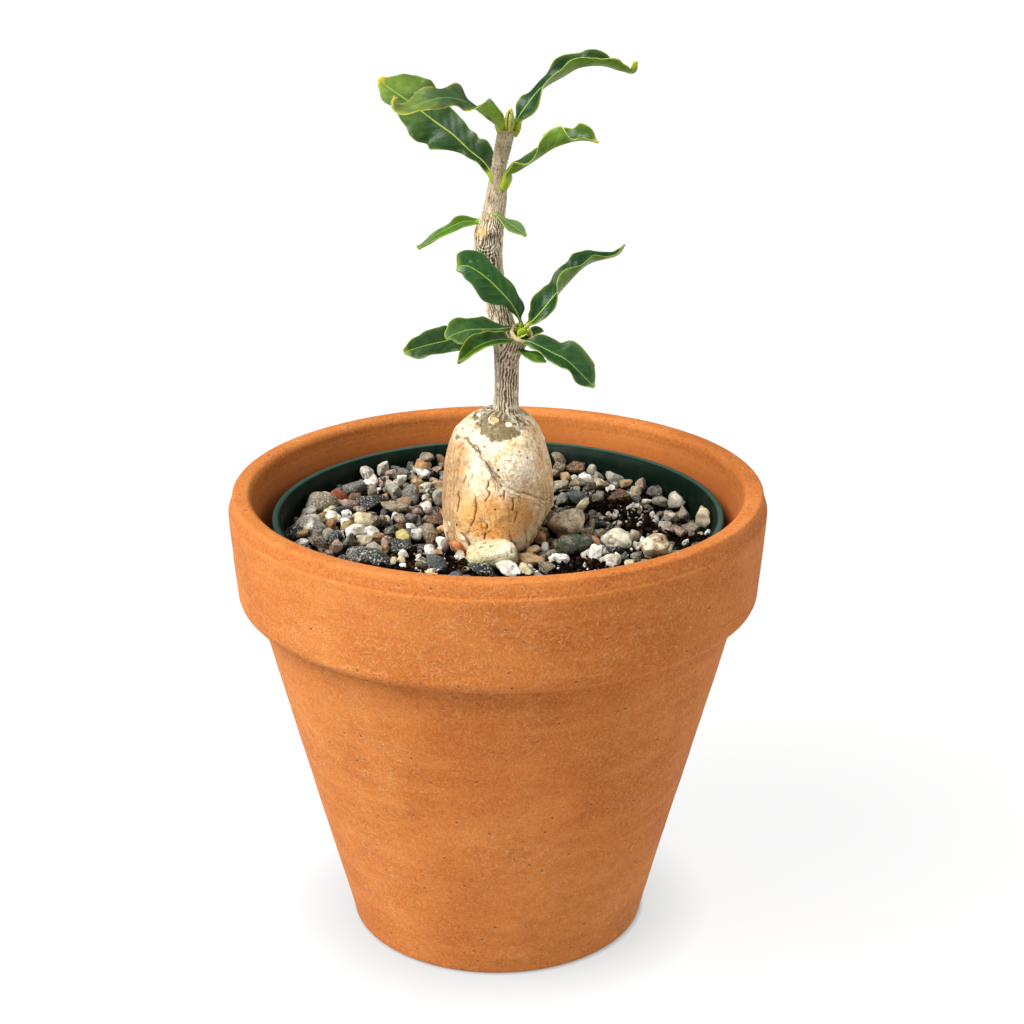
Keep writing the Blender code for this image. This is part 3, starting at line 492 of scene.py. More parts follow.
def makePlasticSurface():
    pot, tones = nurseryPot, nurseryPot["tones"]
    surface = Surface("green_plastic", 0.5, 0.08)
    reach, level = surface.reachAndLevel()
    surface.colour = tones["wall"]
    # the lighter top of the rim is partly wear and partly a painted sheen
    surface.cover(tones["edge"], level.span((pot["top"] - 1.5) * mm, (pot["top"] - 0.5) * mm) *
                  reach.span((pot["rimRadius"] - 1.75) * mm, (pot["rimRadius"] - 1.2) * mm))
    surface.cover(tones["dust"], surface.noise(210, 5).span(0.5, 0.8, 0, 0.045))
    surface.feed(surface.shader["Roughness"], surface.noise(120, 3).span(0.3, 0.7, 0.45, 0.65))
    surface.finish(surface.noise(700, 2), 0.00004)
    return surface


# The outline turned round the axis, with the drain holes cut through its base
def makeNurseryPot():
    pot = nurseryPot
    outer, inner = nurseryWalls()
    baseRadius, baseZ = outer[-1]
    line = arc((pot["rimRadius"] - 0.6, pot["top"] - 0.6), (0.6, 0.6), 130, 0, 8)
    line += [(pot["rimRadius"], pot["top"] - pot["lipDepth"])] + outer
    line += [(baseRadius - 2.2, baseZ), (baseRadius - 3.0, baseZ + 0.7), (2.5, baseZ + 0.7),
             (2.5, baseZ + 1.5)]
    line = fineLine(line + inner[::-1] + line[:1], 4.0)[:-1]
    points = turned(line, pot["around"])
    soft = noise(points, 22.0, 9) * 0.12 * ease(baseZ + 20, pot["top"], points[..., 2])
    points[..., :2] *= (1 + soft / np.maximum(line[:, :1], 10))[..., None]
    piece = addPiece("nursery_pot_moulded",
                     [(points.reshape(-1, 3), [gridFaces(*points.shape[:2], True)], None)],
                     makePlasticSurface(), ["nursery_pot"])
    cut = bmesh.new()
    for index in range(pot["drains"]):
        turn = math.tau * (index + pot["drainTurn"]) / pot["drains"]
        made = bmesh.ops.create_cone(cut, cap_ends=True, segments=24, radius1=pot["drainRadius"] * mm,
                                     radius2=pot["drainRadius"] * mm, depth=6 * mm)
        bmesh.ops.translate(cut, verts=made["verts"], vec=(
            pot["drainRing"] * math.cos(turn) * mm, pot["drainRing"] * math.sin(turn) * mm, baseZ * mm))
    cutMesh = bpy.data.meshes.new("drains")
    cut.to_mesh(cutMesh)
    cut.free()
    cutter = addObject("drains", cutMesh)
    holes = piece.modifiers.new("holes", "BOOLEAN")
    holes.object, holes.operation, holes.solver = cutter, "DIFFERENCE", "EXACT"
    solid = bpy.data.meshes.new_from_object(piece.evaluated_get(bpy.context.evaluated_depsgraph_get()))
    piece.modifiers.clear()
    piece.data = solid
    bpy.data.objects.remove(cutter)


makeNurseryPot()


# A pair of coordinates turned by an angle
def spun(a, b, angle):
    return a * np.cos(angle) - b * np.sin(angle), a * np.sin(angle) + b * np.cos(angle)


# A rock's outline is where the sum of (its direction over each flat's distance) to a power is one, so a high
# power gives sharp edges between the flats, and a low one a worn pebble. Noise roughens it.
def makeRocks(directions, halves, flats, sharpness, roughness, seed):
    draw = np.random.default_rng(seed)
    count, power = len(halves), sharpness[:, None, None]
    normals = unit(draw.normal(size=(count, flats, 3)))
    depths = draw.uniform(0.52, 1.0, (count, flats, 1))
    facing = np.maximum(normals @ directions.T, 0) / depths
    box = np.abs(directions[None]) ** power
    reach = ((facing**power).sum(1) + 0.6 * box.sum(2)) ** (-1 / sharpness[:, None])
    shift = draw.uniform(-50, 50, (count, 1, 3))
    reach = reach * (1 + roughness[:, None] * noise(directions * 2.0 + shift, 1.0, seed + 1, 3))
    reach /= reach.mean(1, keepdims=True)
    return directions * reach[..., None] * halves[:, None, :] * 1.04


def roundStart(level):
    made = bmesh.new()
    bmesh.ops.create_icosphere(made, subdivisions=level, radius=1.0)
    directions = unit(np.array([vert.co for vert in made.verts]))
    faces = np.array([[vert.index for vert in face.verts] for face in made.faces])
    made.free()
    return directions, faces


# Turns each rock by random angles: a small tip to the side, and any way round
def turnRocks(points, tip, seed):
    draw = np.random.default_rng(seed)
    for axis, most in ((0, tip), (1, tip), (2, math.pi)):
        angle = draw.uniform(-1, 1, len(points))[:, None] * most
        a, b = (k for k in range(3) if k != axis)
        points[..., a], points[..., b] = spun(points[..., a], points[..., b], angle)
    return points


stoneTones = paints(
    white=(226, 222, 210), paleGrey=(170, 164, 150), grey=(112, 110, 101), darkGrey=(80, 78, 74),
    slate=(52, 57, 58), blueGrey=(82, 90, 90), greyTan=(142, 131, 110), tan=(172, 143, 102),
    cream=(206, 192, 158), peach=(192, 146, 102), orange=(190, 120, 70), brick=(142, 76, 48),
    brown=(106, 80, 56), pink=(164, 138, 122), mottled=(134, 118, 96), lemon=(182, 176, 108),
    pumice=(198, 188, 172), soil=(24, 16, 12), crumb=(62, 44, 32), perlite=(222, 216, 202), dirt=(46, 36, 28),
    pore=(40, 32, 25), darkSpot=(46, 44, 40), paleSpot=(214, 208, 192))
stoneSpeckle = dict(  # how speckled each kind is; the others are a little
    slate=0.85, mottled=0.9, grey=0.5, darkGrey=0.6, greyTan=0.55, blueGrey=0.4, pumice=0.35, pink=0.45,
    paleGrey=0.3, brown=0.4, tan=0.25, cream=0.2, soil=0, crumb=0, perlite=0)
littleSpeckle = 0.08
stonesSeen = {  # middle x and y, half width and half height in mm, as the photograph shows them
    "brick": ((-41.0, 23.0, 2.1, 1.5),),
    "white": (
        (-33.7, 35.6, 1.8, 1.5), (-25.9, 37.9, 1.2, 1.0), (-19.1, 25.8, 1.0, 0.9), (-19.0, 19.0, 1.5, 1.3),
        (-38.2, 12.0, 1.3, 1.0), (-41.6, 10.3, 1.6, 1.4), (-36.1, 0.8, 2.4, 1.4), (-31.6, 1.3, 1.7, 1.4),
        (-26.6, 11.3, 1.0, 0.9), (-21.8, 4.9, 1.0, 1.0), (-20.0, -0.7, 1.5, 1.3), (-13.3, -7.5, 1.6, 2.0),
        (-17.0, -10.1, 1.3, 1.5), (-22.9, -12.5, 1.3, 1.0), (-22.8, -19.5, 0.7, 0.6), (22.2, 42.5, 0.9, 0.9),
        (20.3, 41.2, 0.7, 0.7), (38.6, 24.5, 1.1, 0.7), (40.3, 13.3, 0.9, 0.7), (23.9, -12.7, 1.7, 1.9),
        (15.1, -14.6, 1.9, 1.1), (11.7, -7.7, 1.2, 0.9), (46.7, -2.4, 0.9, 0.6), (52.4, 3.8, 0.9, 0.6),
        (2.6, -21.8, 2.3, 1.7), (5.1, -21.9, 1.2, 0.7)),
    "paleGrey": (
        (-34.8, 40.8, 2.0, 1.5), (-31.2, 43.4, 1.7, 1.7), (-23.4, 41.7, 1.5, 1.0), (-27.4, 29.5, 2.2, 1.9),
        (-15.8, 23.1, 1.8, 2.1), (25.4, 46.8, 1.4, 1.2), (30.5, 39.7, 2.1, 1.9), (26.5, 41.5, 1.5, 1.2),
        (41.8, 23.6, 1.9, 1.4), (47.4, 14.4, 1.4, 1.9)),
    "grey": (
        (-28.2, 45.6, 1.0, 1.0), (-37.8, 28.3, 2.4, 2.0), (-22.7, 26.1, 2.5, 2.1), (-46.2, 5.0, 2.4, 1.6),
        (-36.9, -6.0, 1.5, 1.7), (16.5, 24.9, 2.0, 1.0), (41.2, 29.8, 2.1, 1.2), (24.0, 15.2, 1.1, 0.9),
        (33.7, -13.2, 1.5, 1.1)),
    "tan": (
        (-26.4, 43.0, 1.1, 1.1), (-38.0, 5.5, 1.4, 1.4), (-48.4, -0.7, 1.5, 1.2), (-29.9, -2.8, 1.3, 1.2),
        (-27.4, -10.1, 1.3, 1.0), (-14.6, -11.4, 1.0, 0.9), (33.8, 36.5, 1.7, 1.2), (8.5, -10.4, 1.5, 1.1),
        (8.3, -16.2, 3.1, 1.4), (14.8, -6.1, 1.5, 1.1)),
    "darkGrey": ((-23.9, 47.5, 1.2, 1.2),),
    "peach": (
        (-20.0, 47.5, 2.5, 1.4), (-29.8, 23.2, 1.0, 1.6), (-42.1, 5.4, 1.0, 1.4), (24.5, -3.5, 1.7, 1.0),
        (10.6, -3.1, 1.4, 1.4)),
    "greyTan": (
        (-19.5, 53.8, 2.0, 1.4), (-33.0, 28.0, 1.7, 1.7), (-26.2, 17.2, 2.7, 1.5), (-17.2, -0.7, 1.7, 1.7),
        (16.6, 54.0, 1.9, 1.5), (16.4, 34.1, 1.9, 1.2), (26.2, 25.8, 1.5, 1.5), (25.2, 1.6, 1.4, 1.1),
        (13.2, -11.7, 1.4, 1.2)),
    "brown": (
        (-15.9, 52.6, 1.4, 1.4), (-16.5, 9.9, 2.4, 1.2), (20.1, 47.4, 2.5, 1.5), (24.4, 34.5, 1.2, 1.1),
        (32.2, 27.0, 2.5, 1.9), (21.3, 11.3, 1.7, 1.2)),
    "slate": (
        (-33.3, 21.2, 3.5, 1.5), (-51.5, 0.4, 2.1, 1.3), (-40.7, -2.9, 2.1, 1.6), (-24.2, -8.3, 2.4, 1.3),
        (-28.4, -15.8, 3.0, 1.6), (22.4, 23.7, 1.7, 1.4), (29.6, -6.9, 2.1, 1.2), (26.7, -6.1, 1.9, 1.2),
        (-3.3, -21.1, 3.0, 1.5)),
    "pink": (
        (-20.9, 15.2, 1.2, 1.2), (-39.6, -9.1, 1.7, 1.5), (-27.7, -5.7, 1.2, 1.0), (37.5, 36.7, 1.9, 1.2),
        (45.3, 3.7, 1.9, 1.2)),
    "cream": (
        (-34.0, 9.1, 2.5, 1.9), (-44.1, 15.9, 1.7, 1.0), (-32.8, -3.8, 1.7, 1.5), (-25.1, -17.7, 1.0, 1.2),
        (-16.0, -22.3, 1.0, 0.6), (26.8, 36.0, 1.4, 1.5), (36.1, 30.5, 1.4, 1.7), (21.3, 19.4, 1.7, 1.4),
        (23.7, 7.3, 0.7, 1.5), (34.4, -0.5, 1.2, 1.5), (51.0, 13.6, 2.0, 1.9), (36.7, -10.8, 1.2, 0.9),
        (6.9, -21.6, 1.7, 1.1), (-6.2, -19.7, 0.9, 0.6)),
    "blueGrey": ((-40.0, 15.8, 2.2, 1.2), (-14.4, -19.0, 2.4, 1.7), (20.2, 26.6, 1.9, 1.5)),
    "mottled": (
        (-44.0, -6.6, 2.2, 1.7), (-30.0, 7.4, 1.7, 1.4), (-24.7, 8.7, 1.7, 1.7), (-17.9, -18.4, 1.7, 1.7),
        (20.7, 36.3, 2.1, 1.1), (22.2, 0.5, 1.5, 1.4), (12.0, -20.6, 1.7, 1.4)),
    "lemon": ((-23.4, -1.3, 2.1, 1.4), (-0.7, -18.5, 0.9, 1.1), (-7.4, -21.3, 0.9, 0.6)),
    "pumice": (
        (46.0, 24.0, 2.5, 1.7), (42.1, 6.4, 1.7, 1.4), (44.0, 12.5, 2.0, 1.4), (27.6, -15.8, 2.7, 1.4),
        (21.3, -12.7, 1.2, 1.4)),
    "orange": ((17.7, -7.2, 2.0, 2.0), (-9.6, -9.5, 1.9, 1.7))}

gravelBed = dict(
    reach=52.9, cell=0.3, halfGrid=54, gapAboveSoil=2.3, pebbles=1080, pebbleTries=9, crumbs=4800,
    perlite=540, tries=12, rootRoom=13.2, rootGap=0.6, pebbleHalf=(0.75, 2.3), crumbHalf=(0.22, 0.9),
    perliteHalf=(0.17, 0.95), mostOver=0.9, around=240, topRows=140, seed=41,
    fillers=dict(grey=16, greyTan=14, paleGrey=9, cream=7, tan=9, slate=12, blueGrey=5, white=6, pumice=4,
                 brown=8, pink=4, mottled=8, peach=2, orange=1, brick=1, darkGrey=8, lemon=0.3),
    # bare places as x, y and size, and heaps of perlite as x, y, size and count
    bare=((34.5, 13.0, 8.5), (29.0, 27.5, 6.5), (31.0, 19.5, 6.0), (47.0, 0.0, 7.5), (50.0, -9.0, 7.0),
          (43.5, 9.5, 5.0), (36.0, -5.0, 6.0), (28.3, -8.5, 4.5), (22.5, -17.0, 7.5), (14.0, -20.0, 5.5),
          (-15.5, -16.5, 7.5), (-11.0, -19.5, 6.0), (-23.5, -8.0, 5.5), (-21.0, -20.5, 6.0),
          (-29.5, -18.5, 4.0), (24.0, 20.0, 4.0), (0.0, -34.0, 12.0), (22.0, -34.0, 12.0),
          (-24.0, -32.0, 10.0)),
    perliteHeaps=((34.0, 14.0, 6.5, 84), (35.0, -6.0, 5.0, 30), (24.8, -16.2, 6.0, 34),
                  (-15.5, -16.5, 7.0, 60), (10.0, -18.5, 5.0, 24), (28.0, -10.0, 5.0, 22)))


# Height of the gravel: a plane a little higher at the back left, that climbs against the wall there
def gravelLevel(x, y):
    r = np.maximum(np.hypot(x, y), 1e-6)
    climb = 2.3 * ease(38, 52, r) * ease(0.2, 1.0, (0.92 * y - 0.39 * x) / r)
    return 102.6 + 0.03 * y - 0.012 * x + climb


# How bare of stones a place is, from 0 to 1: round patches with a ragged edge
def bareShare(x, y):
    share = np.zeros(np.shape(x))
    ragged = 1 + 0.45 * noise(np.stack([x, y, 0 * x], -1), 5.5, 27)
    for middleX, middleY, size in gravelBed["bare"]:
        share = np.maximum(share, ease(size, size * 0.55, np.hypot(x - middleX, y - middleY) * ragged))
    return share


# The soil lies under the gravel by a fixed depth, less where it is bare, with coarse and fine crumbs of noise
def soilLevel(x, y):
    flat = np.stack([x, y, 0 * x], -1)
    rough = noise(flat, 3.0, 17, 4) * 1.1 + noise(flat, 1.3, 19, 2) * 0.42
    return gravelLevel(x, y) - gravelBed["gapAboveSoil"] + 1.5 * bareShare(x, y) + rough


# The bed as a height for each cell of a square grid; a stone rests on most of what is under it
class Bed:
    def __init__(self):
        self.cell, self.edge = gravelBed["cell"], gravelBed["halfGrid"]
        line = (np.arange(int(2 * self.edge / self.cell)) + 0.5) * self.cell - self.edge
        self.x, self.y = np.meshgrid(line, line, indexing="ij")
        self.height = soilLevel(self.x, self.y)
        self.taken = []

    # The cells near a stone, and for each the square of the share of its half height that it has there
    def under(self, x, y, half):
        wide = max(half[0], half[1])
        i0, j0 = (max(0, int((place - wide + self.edge) / self.cell)) for place in (x, y))
        i1, j1 = (int((place + wide + self.edge) / self.cell) + 2 for place in (x, y))
        window = slice(i0, i1), slice(j0, j1)
        near = (self.x[window] - x) ** 2 + (self.y[window] - y) ** 2
        return window, 1 - near / (half[0] * half[1])

    def rest(self, x, y, half):
        window, inside = self.under(x, y, half)
        hit = inside > 0
        if not hit.any():
            return float(soilLevel(np.array([x]), np.array([y]))[0]) + half[2] * 0.5
        return float(np.percentile(
            self.height[window][hit] + half[2] * np.sqrt(inside[hit]), 86)) - 0.22 * half[2]

    def put(self, x, y, z, half):
        window, inside = self.under(x, y, half)
        stone = np.where(inside > 0, z + half[2] * np.sqrt(np.maximum(inside, 0)), -np.inf)
        self.height[window] = np.maximum(self.height[window], stone)

    # Rests a grain at x, y and returns its place, or nothing where it would lie higher than the most
    def settle(self, x, y, half, most):
        z = self.rest(x, y, half)
        if z <= most:
            self.put(x, y, z, half)
            return x, y, z


# Room left round the root, whose lower end leans to the left
def clearOfRoot(x, y, size):
    return math.hypot(x + 0.9, y) > gravelBed["rootRoom"] + gravelBed["rootGap"] * size


# A random place in a disc
def someSpot(draw, radius, x=0, y=0):
    r, angle = math.sqrt(draw.random()) * radius, draw.uniform(0, math.tau)
    return x + r * math.cos(angle), y + r * math.sin(angle)


# A random size, more often a small one
def someSize(draw, sizes, power):
    return sizes[0] + (sizes[1] - sizes[0]) * draw.random() ** power


def makeGravelSurface(name, roughness, specular):
    surface = Surface(name, roughness, specular)
    surface.useTint()
    speckle = Number(surface, surface.node("Attribute", {}, attribute_name="speckle")["Fac"])
    clouds, fine = surface.noise(620, 3, 0.4), surface.noise(2300, 2)
    pores = surface.noise(1150, 2, 0.5).span(0.40, 0.31) * surface.noise(210, 2).span(0.42, 0.6)
    surface.shade(clouds.span(0.3, 0.7), (0.62, 0.61, 0.6), (1.24, 1.24, 1.24))
    surface.cover(stoneTones["pore"], pores * 0.6)
    surface.cover(stoneTones["darkSpot"], fine.span(0.47, 0.38) * speckle * 0.75)
    surface.cover(stoneTones["paleSpot"], fine.span(0.56, 0.66) * speckle * 0.7)
    surface.finish(clouds * 0.7 + fine * 0.5 - pores, 0.0003, 0.85)
    return surface


# Rocks of one fineness as one piece; each is a kind, a place, halves, a sharpness and a roughness
def addRocks(name, rocks, surface, level, seed, crisp, flats=9, tip=0.35, dirt=1.0):
    directions, faces = roundStart(level)
    kinds, place, half, sharpness, roughness = zip(*rocks)
    place, half, sharpness, roughness = (
        np.array(part, float) for part in (place, half, sharpness, roughness))
    place = place[:, None]
    points = turnRocks(makeRocks(directions, half, flats, sharpness, roughness, seed), tip, seed + 5) + place
    radius = np.hypot(points[..., 0], points[..., 1])
    points[..., :2] *= np.minimum(1, gravelBed["reach"] / np.maximum(radius, 1e-6))[..., None]
    draw = np.random.default_rng(seed + 9)
    tone = np.array([stoneTones[kind] for kind in kinds])[:, None]
    tone = tone * draw.uniform(0.86, 1.12, (len(rocks), 1, 1)) * draw.uniform(0.97, 1.03, (len(rocks), 1, 3))
    tint = tone * (1 + 0.4 * noise(points + place * 3, 1.5, seed + 11, 3))[..., None]
    stain = ease(0.05, 0.6, noise(points + place * 5, 1.1, seed + 17, 3))
    tint = mixTint(tint, tint * (0.62, 0.5, 0.38), stain * 0.75 * dirt)
    low = (place[..., 2] - points[..., 2]) / half[:, 2:]
    # darker towards the bottom of each stone, and in random patches
    soiled = ease(0.3, 1.05, low + 0.45 * noise(points, 1.2, seed + 13, 2)) * dirt
    soiled = np.maximum(soiled, 0.4 * dirt * ease(0.35, 0.65, noise(points, 2.1, seed + 15, 3)))
    tint = mixTint(tint, stoneTones["dirt"], soiled * 0.85)
    speckle = np.array([stoneSpeckle.get(kind, littleSpeckle) for kind in kinds])[:, None] * (1 - soiled)
    allFaces = (faces[None] + np.arange(len(rocks))[:, None, None] * len(directions)).reshape(-1, 3)
    addPiece(name, [(points.reshape(-1, 3), [allFaces], tint.reshape(-1, 3))], surface,
             shares={"speckle": speckle.ravel()}, crisp=crisp)


# The body of the mix: a crumbly top, down the nursery pot's inner wall and closed below
def makeMixBody(surface):
    _, inner = nurseryWalls()
    reach, base = gravelBed["reach"], inner[3][1] + 0.4
    wall = fineLine([(reach, 99.0), (reach - 0.2, inner[1][1] + 1)], 3)
    wall = np.vstack([wall, (inner[2][0] - 0.5, inner[2][1] - 0.5), (inner[3][0] - 0.6, base), (0.3, base)])
    top = np.linspace(0.25, reach, gravelBed["topRows"])
    rings = turned(np.vstack([np.c_[top, 0 * top], wall]), gravelBed["around"])
    rings[:len(top), :, 2] = soilLevel(rings[:len(top), :, 0], rings[:len(top), :, 1])
    shell = cappedRings(rings, mixTint(
        paint(13, 10, 8), paint(36, 26, 19), ease(-0.2, 0.5, noise(rings, 1.6, 23, 3))))
    addPiece("mix_body", [shell], surface, ["potting_mix"], {"speckle": np.zeros(len(shell[0]))})


# The stones about where the photograph shows them
def laySeen(draw, bed):
    rocks = []
    for kind, stones in stonesSeen.items():
        for x, y, wide, high in stones:
            half = np.array([wide, wide * draw.uniform(0.75, 1.0), high * 0.98]) * draw.uniform(0.97, 1.05)
            z = 102.3 + 0.03 * y - 0.012 * x + 0.45 * high
            most = gravelBed["reach"] - wide * 0.9
            if math.hypot(x, y) > most and y > 0:  # slides along the line of sight, off the wall
                back = y - math.sqrt(max(most**2 - x**2, 0))
                y, z = y - back, z + 0.37 * back
            sharpness = draw.uniform(4.5, 13.0)
            rocks.append((kind, (x, y, z), half, sharpness,
                          0.26 if kind == "pumice" else draw.uniform(0.1, 0.2)))
            bed.taken.append((x, y, wide))
            bed.put(x, y, z, half)
    return rocks


# Pebbles between them; of a few random places each takes the one where it stands lowest over the gravel
def layFilling(draw, bed):
    kinds, weights = (np.array(list(part)) for part in (gravelBed["fillers"], gravelBed["fillers"].values()))
    takenX, takenY, takenSize = np.array(bed.taken).T
    rocks = []
    for _ in range(gravelBed["pebbles"]):
        size = someSize(draw, gravelBed["pebbleHalf"], 2.1)
        half = np.array([size, size * draw.uniform(0.7, 1.0), size * draw.uniform(0.55, 0.9)])
        place, least = None, gravelBed["mostOver"]
        for _ in range(gravelBed["pebbleTries"]):
            x, y = someSpot(draw, gravelBed["reach"] - size * 0.85)
            if not clearOfRoot(x, y, size) or draw.random() < bareShare(x, y) * 1.05:
                continue
            if (np.hypot(takenX - x, takenY - y) / (takenSize + size)).min() < 0.66:
                continue
            z = bed.rest(x, y, half)
            over = z + half[2] - gravelLevel(x, y)
            if over < least:
                place, least = (x, y, z), over
        if place:
            kind = kinds[draw.choice(len(kinds), p=weights / weights.sum())]
            bed.put(*place, half)
            rocks.append((kind, place, half, draw.uniform(4.5, 15.0), draw.uniform(0.1, 0.24)))
    return rocks


def layCrumbs(draw, bed):
    rocks = []
    for _ in range(gravelBed["crumbs"]):
        size = someSize(draw, gravelBed["crumbHalf"], 2)
        for _ in range(gravelBed["tries"]):
            x, y = someSpot(draw, gravelBed["reach"] - size)
            if clearOfRoot(x, y, size) and draw.random() < 0.12 + bareShare(x, y):
                break
        else:
            continue
        half = np.array([size, size * draw.uniform(0.4, 1.0), size * draw.uniform(0.4, 0.9)])
        place = bed.settle(x, y, half, gravelLevel(x, y) - 0.75 + 1.3 * bareShare(x, y))
        if place:
            rocks.append(("crumb" if draw.random() < 0.3 else "soil", place, half, 6.0, 0.3))
    return rocks


# White grains, most of them in heaps and the others in the bare places
def layPerlite(draw, bed):
    edge, heaps = gravelBed["reach"] - 1, gravelBed["perliteHeaps"]
    scattered = (0, 0, 0, gravelBed["perlite"] - sum(heap[3] for heap in heaps))
    rocks = []
    for heapX, heapY, heapSize, heapCount in (scattered, *heaps):
        for _ in range(heapCount):
            for _ in range(gravelBed["tries"]):
                x, y = someSpot(draw, heapSize or edge, heapX, heapY)
                if math.hypot(x, y) < edge and clearOfRoot(x, y, 0.5) and (
                        heapSize or draw.random() < 0.2 + bareShare(x, y)):
                    break
            else:
                continue
            size = someSize(draw, gravelBed["perliteHalf"], 2.4)
            half = np.array([size, size * draw.uniform(0.6, 1.0), size * draw.uniform(0.6, 1.0)])
            place = bed.settle(x, y, half, gravelLevel(x, y) + (0.6 if heapSize else -0.5))
            if place:
                rocks.append(("perlite", place, half, 9.0, 0.3))
    return rocks


# The eight loose stones: ellipsoids with the same slow dents as the solids, and flats and pits of their own
namedStones = {
    "stone_pale_large": dict(
        middle=(-1.3, -17.5, 104.5), half=(6.2, 4.1, 3.8), turn=4, tone=(232, 222, 176),
        second=(186, 176, 112), patch=0.4, patchSize=1.8, spots=0.45, flats=0.4),
    "stone_grey_left": dict(
        middle=(-45.4, 18.0, 104.6), half=(4.1, 3.5, 3.0), turn=-10, tone=(134, 124, 102),
        second=(120, 112, 96), patch=0.3, patchSize=1.2, spots=0.8, flats=0.5),
    "stone_mottled_left": dict(
        middle=(-47.0, 3.5, 103.6), half=(4.6, 3.6, 2.7), turn=12, tone=(196, 188, 172),
        second=(84, 80, 72), patch=0.5, patchSize=2.0, spots=0.5, flats=0.9),
    "stone_tan_right": dict(
        middle=(17.4, 4.8, 104.2), half=(4.3, 3.5, 3.6), turn=35, tone=(246, 230, 198),
        second=(200, 172, 134), patch=0.35, patchSize=1.8, spots=0.35, flats=1.1),
    "stone_dark_right": dict(
        middle=(18.6, -7.2, 103.2), half=(4.9, 3.0, 2.5), turn=15, tone=(78, 82, 70),
        second=(124, 122, 98), patch=0.4, patchSize=1.4, spots=0.35, flats=0.8),
    "stone_white_right": dict(
        middle=(29.6, -5.6, 103.7), half=(4.0, 2.9, 2.5), turn=-28, tone=(214, 207, 186),
        second=(150, 132, 104), patch=0.3, patchSize=1.6, spots=0.15, flats=0.9),
    "stone_yellow_right": dict(
        middle=(38.6, -10.4, 103.8), half=(3.6, 2.9, 2.6), turn=30, tone=(224, 210, 180),
        second=(160, 126, 84), patch=0.4, patchSize=1.5, spots=0.3, flats=1.2),
    "stone_dark_front": dict(
        middle=(-32.6, -14.6, 103.0), half=(4.2, 2.8, 2.1), turn=-12, tone=(72, 73, 69),
        second=(140, 138, 124), patch=0.4, patchSize=0.8, spots=1.0, flats=0.4)}
largeStoneTones = paints(crown=(244, 234, 200), stain=(126, 130, 72), warm=(222, 160, 96), pit=(92, 78, 52))


# The unit sphere times the halves, times two slow waves and the flats of a sharp rock, plus rough noise
def makeNamedStones(surface):
    directions, faces = roundStart(5)
    x, y, z = directions.T
    for index, (name, stone) in enumerate(namedStones.items()):
        half = np.array(stone["half"], float)
        seed = half[0] * 7.0
        dent = 1 + 0.07 * np.sin(3.1 * x + seed) + 0.06 * np.sin(3.7 * y + 2 * z + seed * 1.7)
        flats = makeRocks(directions, np.ones((1, 3)), 12, np.array([12.0]), np.array([0.04]), 91 + index)[0]
        dent *= 1 + stone["flats"] * 0.85 * (np.minimum(np.linalg.norm(flats, axis=1), 1.06) - 1)
        points = directions * half * dent[:, None]
        rough = noise(points, 1.1, 101 + index, 4) * 0.1 + noise(points, 3.0, 107 + index, 2) * 0.16
        rough *= 0.4 + stone["flats"]
        if name == "stone_white_right":  # long grooves along the pumice
            rough -= 0.22 * ease(
                0.7, 1.0, np.sin(points[:, 1] * 3.6 + 0.8 * noise(points, 3, 4))) * (z > -0.3)
        points = points * (1 + rough / half.min())[:, None]
        points[:, 0], points[:, 1] = spun(points[:, 0], points[:, 1], math.radians(stone["turn"]))
        patch = noise(points + 9 * index, stone["patchSize"], 111 + index, 3)
        start = 0.75 - 2 * stone["patch"]
        tint = mixTint(paint(*stone["tone"]), paint(*stone["second"]),
                       ease(start, start + 0.6, patch * 1.6) * 0.8)
        if name == "stone_pale_large":  # greenish stain low at the front, pale crown, dark pits
            pits = ease(0.62, 0.72, noise(points + 5, 0.75, 7)) * ease(-0.2, 0.4, noise(points, 2.4, 8))
            for label, share in (
                    ("crown", ease(-0.1, 0.6, z + 0.4 * patch)),
                    ("stain", ease(-0.2, 0.5, -z + 0.55 * x + 0.6 * patch) * 0.75),
                    ("warm", ease(0.3, 0.9, z - 0.8 * x + 0.4 * patch) * 0.5), ("pit", pits * 0.85)):
                tint = mixTint(tint, largeStoneTones[label], share)
            points = points - directions * (0.16 * pits)[:, None]
        # darker towards the bottom of each stone
        soiled = ease(0.5, 1.05, -z + 0.5 * noise(points, 1.4, 121 + index, 2))
        tint = mixTint(tint, stoneTones["dirt"], soiled * 0.8)
        addPiece(name + "_fine", [(points + stone["middle"], [faces], tint)], surface,
                 [name],
                 {"speckle": stone["spots"] * (1 - soiled)})


def makeGravel():
    draw = np.random.default_rng(gravelBed["seed"])
    gravel, soil = makeGravelSurface("gravel", 0.88, 0.25), makeGravelSurface("soil", 1.0, 0.02)
    makeMixBody(soil)
    bed = Bed()
    for stone in namedStones.values():
        bed.taken.append((*stone["middle"][:2], 0.9 * stone["half"][0]))
        bed.put(*stone["middle"], stone["half"])
    addRocks("gravel_seen", laySeen(draw, bed), gravel, level=3, seed=51, tip=0.25, dirt=0.85, crisp=32)
    addRocks("gravel_filling", layFilling(draw, bed), gravel, level=2, seed=61, flats=7, crisp=34)
    addRocks("soil_crumbs", layCrumbs(draw, bed), soil, level=1, seed=71, flats=5, tip=1.5, dirt=0.0,
             crisp=30)
    addRocks("perlite_grains", layPerlite(draw, bed), gravel, level=2, seed=81, flats=5, tip=1.5, dirt=0.3,
             crisp=34)
    makeNamedStones(gravel)


makeGravel()


